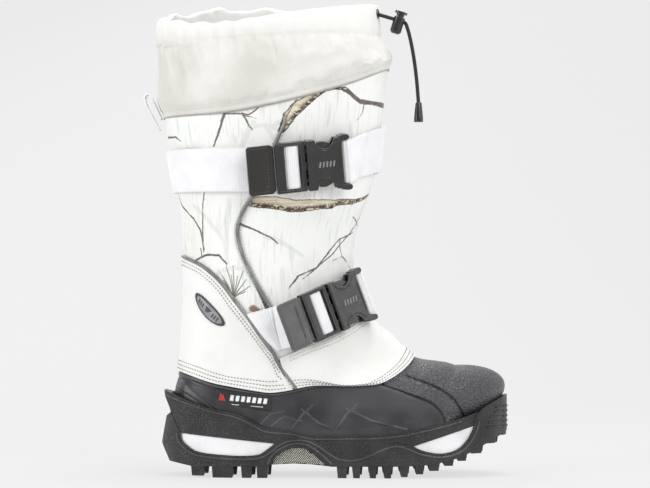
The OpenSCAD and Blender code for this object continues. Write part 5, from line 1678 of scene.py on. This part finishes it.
# label: a rubber patch hugging the shell's top edge
LABEL_TOP = np.array([[-100, 86], [-50, 80.2], [2, 74.4], [100, 64]], float)
LABEL_LOW = np.array([[-100, 68], [-50, 64.5], [2, 60.5], [100, 53]], float)
SIDE_T, SIDE_PHI = np.meshgrid(np.arange(9, 14.5, 0.02), np.arange(30, 100, 0.5), indexing="ij")
SIDE = skin(SIDE_T, SIDE_PHI)


def side_spot(x, z, o):
    """Point on the outer side at a side-view position, o millimetres off the form."""
    x, z = np.broadcast_arrays(np.asarray(x, float), np.asarray(z, float))
    t, phi = np.empty(x.shape), np.empty(x.shape)
    for idx in np.ndindex(x.shape):
        k = np.argmin((SIDE[..., 0] - x[idx]) ** 2 + (SIDE[..., 2] - z[idx]) ** 2)
        t[idx], phi[idx] = SIDE_T.ravel()[k], SIDE_PHI.ravel()[k]
    # Newton steps from the nearest table point
    for _ in range(6):
        p = skin(t, phi)
        dt = (skin(t + 0.01, phi) - p) / 0.01
        dp = (skin(t, phi + 0.1) - p) / 0.1
        rx, rz = x - p[..., 0], z - p[..., 2]
        det = dt[..., 0] * dp[..., 2] - dt[..., 2] * dp[..., 0]
        t = t + (rx * dp[..., 2] - rz * dp[..., 0]) / det
        phi = phi + (dt[..., 0] * rz - dt[..., 2] * rx) / det
    return skin(t, phi, o)


def label_place(u, v, o):
    """u runs along the label, v from 0 at its lower edge to 1 at its upper edge."""
    top = np.interp(u, LABEL_TOP[:, 0], LABEL_TOP[:, 1])
    low_z = np.interp(u, LABEL_LOW[:, 0], LABEL_LOW[:, 1])
    return side_spot(u, low_z + (top - low_z) * np.asarray(v, float), o)


def label_patch(u0, u1, o_low, o_high):
    """The label itself: a domed rectangle with eased edges."""
    nu, nv = 44, 14
    uu, vv = np.meshgrid(spread(u0, u1, nu), spread(0, 1, nv), indexing="ij")
    height = 16             # of the label, so that its long edges ease over 1 mm too
    ease = 1
    for inset in (np.minimum(uu - u0, u1 - uu), np.minimum(vv, 1 - vv) * height):
        ease = ease * np.sqrt(np.clip(1 - (1 - np.minimum(inset, 1)) ** 2, 0, 1))
    top = label_place(uu, vv, o_high - 0.4 * (1 - ease))
    base = label_place(uu, vv, np.full(uu.shape, o_low))
    loop = np.concatenate([top, base[:, ::-1]], 1)
    n, m = loop.shape[:2]
    faces = grid_faces(n, m, False, True)
    for i in (0, n - 1):
        faces += [[i * m + j, i * m + j + 1, i * m + m - 2 - j, i * m + m - 1 - j] for j in range(nv - 1)]
    new_piece("side_label_patch", loop.reshape(-1, 3), faces, M["label"], nodes=["side_label"])


label_patch(-48, 2, 0.1, 1.3)
label_bars = [slanted_bar(u, 0.58, 3.4, 0.36, 0.5) for u in (-33, -28, -23, -18, -13, -8, -3)]
patches("label_bars", label_bars, 1.1, 1.55, M["label_mark"], label_place)
patches("label_line", [slanted_bar(-19.5, 0.2, 30, 0.06, 0)], 1.1, 1.45, M["label_mark"], label_place)
patches("label_red_mark", [peak(-42, 0.6, 6.5, 0.5)], 1.1, 1.6, M["label_red"], label_place)

# ---- stitching -----------------------------------------------------------------------------------
def leather_row(t, phi, keep):
    return skin_row(t[keep], phi[keep], LEATHER_OUT + 0.42, 2.9)


rear = spread(-QUARTER_END + 1, QUARTER_END - 1, 500)
front = spread(QUARTER_END - 4, 364 - QUARTER_END, 600)
rows = []
for gap_mm in (2.6, 5.6):
    t = quarter_t(rear) + seam_drop(quarter_t, rear, gap_mm)
    rows.append(leather_row(t, rear, t < rubber_t(rear) - 0.04))
for gap_mm in (3.0, 6.2, 9.4):
    t = rubber_t(rear) - seam_drop(rubber_t, rear, gap_mm)
    rows.append(leather_row(t, rear, t > quarter_t(rear) + seam_drop(quarter_t, rear, 7.5)))
    t = rubber_t(front) - seam_drop(rubber_t, front, gap_mm)
    rows.append(leather_row(t, front, (t > vamp_t(front) + 0.2) & (t < vamp_low(front) - 0.03)))
stitches("leather_stitching", rows, M["thread"])

top_edge = spread(VAMP_FROM + 6, 354 - VAMP_FROM, 400)
rows = []
for gap_mm in (2.4, 5.2):
    t = vamp_t(top_edge) + seam_drop(vamp_t, top_edge, gap_mm)
    rows.append(leather_row(t, top_edge, t < vamp_low(top_edge) - 0.08))
stitches("vamp_top_stitching", rows, M["thread_pale"])

round_leg = np.arange(0, 360, 0.5)
rows = [skin_row(raised_by(collar_t(round_leg), round_leg, 2.4), round_leg, COLLAR_OUT - 0.1, 3.2)]
ts = spread(3.7, SEAM_FOOT - 0.15, 300)
degree = np.linalg.norm(skin(ts, shaft_phi(ts) + 1) - skin(ts, shaft_phi(ts)), axis=-1)
for side in (1, -1):
    for off in (-3.2, 3.2):
        rows.append(skin_row(ts, side * (shaft_phi(ts) + off / degree), 0.35, 3.2))
stitches("shaft_stitching", rows, M["thread_pale"], 2.0, 0.26)

# ---- floor, light and camera ---------------------------------------------------------------------
def pale_floor():
    """Floor that curves up into an evenly pale backdrop; seen from behind, the backdrop is clear."""
    reach, bend, top = 9.0, 1.2, 5.0
    prof = [(-reach, 0.0), (bend, 0.0)]
    prof += [(bend * (1 + math.sin(q)), bend * (1 - math.cos(q))) for q in np.linspace(0.1, math.pi / 2, 14)]
    prof += [(2 * bend, top)]
    verts = [(x, y, z) for y, z in prof for x in (-reach, reach)]
    faces = [(2 * i, 2 * i + 1, 2 * i + 3, 2 * i + 2) for i in range(len(prof) - 1)]
    mesh = bpy.data.meshes.new("floor")
    mesh.from_pydata(verts, [], faces)
    for f in mesh.polygons:
        f.use_smooth = True
    obj = bpy.data.objects.new("floor", mesh)
    scene.collection.objects.link(obj)
    sh = Shader("floor", (0.16, 0.16, 0.16, 1), 1.0)
    sh.set(Specular_IOR_Level=0.0, Emission_Color=(1, 1, 1, 1), Emission_Strength=0.68)
    behind = sh.add("ShaderNodeNewGeometry").outputs["Backfacing"]
    clear = sh.add("ShaderNodeBsdfTransparent").outputs[0]
    surface = sh.add("ShaderNodeMixShader", {0: behind, 1: sh.bsdf.outputs[0], 2: clear}).outputs[0]
    sh.put(sh.t.nodes["Material Output"].inputs["Surface"], surface)
    mesh.materials.append(sh.mat)


def area_light(name, at, target, size, watts):
    data = bpy.data.lights.new(name, "AREA")
    data.shape = "RECTANGLE"
    data.size, data.size_y = size
    data.energy = watts
    obj = bpy.data.objects.new(name, data)
    scene.collection.objects.link(obj)
    obj.location = at
    obj.rotation_euler = (Vector(target) - Vector(at)).to_track_quat("-Z", "Y").to_euler()


pale_floor()
middle = (0.05, 0.0, 0.2)
area_light("key", (1.25, -2.2, 1.5), middle, (1.0, 1.2), 24)
area_light("fill", (-2.35, -1.1, 0.9), middle, (1.2, 1.6), 30)
area_light("side", (2.5, -0.9, 0.8), middle, (1.0, 1.4), 9)
area_light("top", (0.25, 0.0, 2.2), middle, (1.0, 0.9), 20)
area_light("back", (-0.6, 1.8, 1.3), middle, (1.4, 1.0), 10)
LIGHTING, SEEN = 0.42, 0.80      # strength of the sky that lights the boot, and of the one the camera sees
world = bpy.data.worlds.new("studio")
world.use_nodes = True
sky, links = world.node_tree.nodes, world.node_tree.links
level = sky.new("ShaderNodeMapRange")
level.inputs["To Min"].default_value = LIGHTING
level.inputs["To Max"].default_value = SEEN
links.new(sky.new("ShaderNodeLightPath").outputs["Is Camera Ray"], level.inputs["Value"])
links.new(level.outputs[0], sky["Background"].inputs["Strength"])
sky["Background"].inputs["Color"].default_value = (1.0, 1.0, 1.0, 1)
scene.world = world
scene.view_settings.view_transform = "Standard"

# level camera on the outer side; the picture's width takes in VIEW_WIDTH metres at the boot's middle plane
CAMERA_AWAY, VIEW_WIDTH, SENSOR = 2.5, 0.598, 36
cam = bpy.data.cameras.new("camera")
cam.lens = SENSOR * CAMERA_AWAY / VIEW_WIDTH
cam.shift_y = 0.0316 / VIEW_WIDTH
cam_obj = bpy.data.objects.new("camera", cam)
cam_obj.location = (0.0506, -CAMERA_AWAY, 0.180)
cam_obj.rotation_euler = (math.pi / 2, 0, 0)
scene.collection.objects.link(cam_obj)
scene.camera = cam_obj
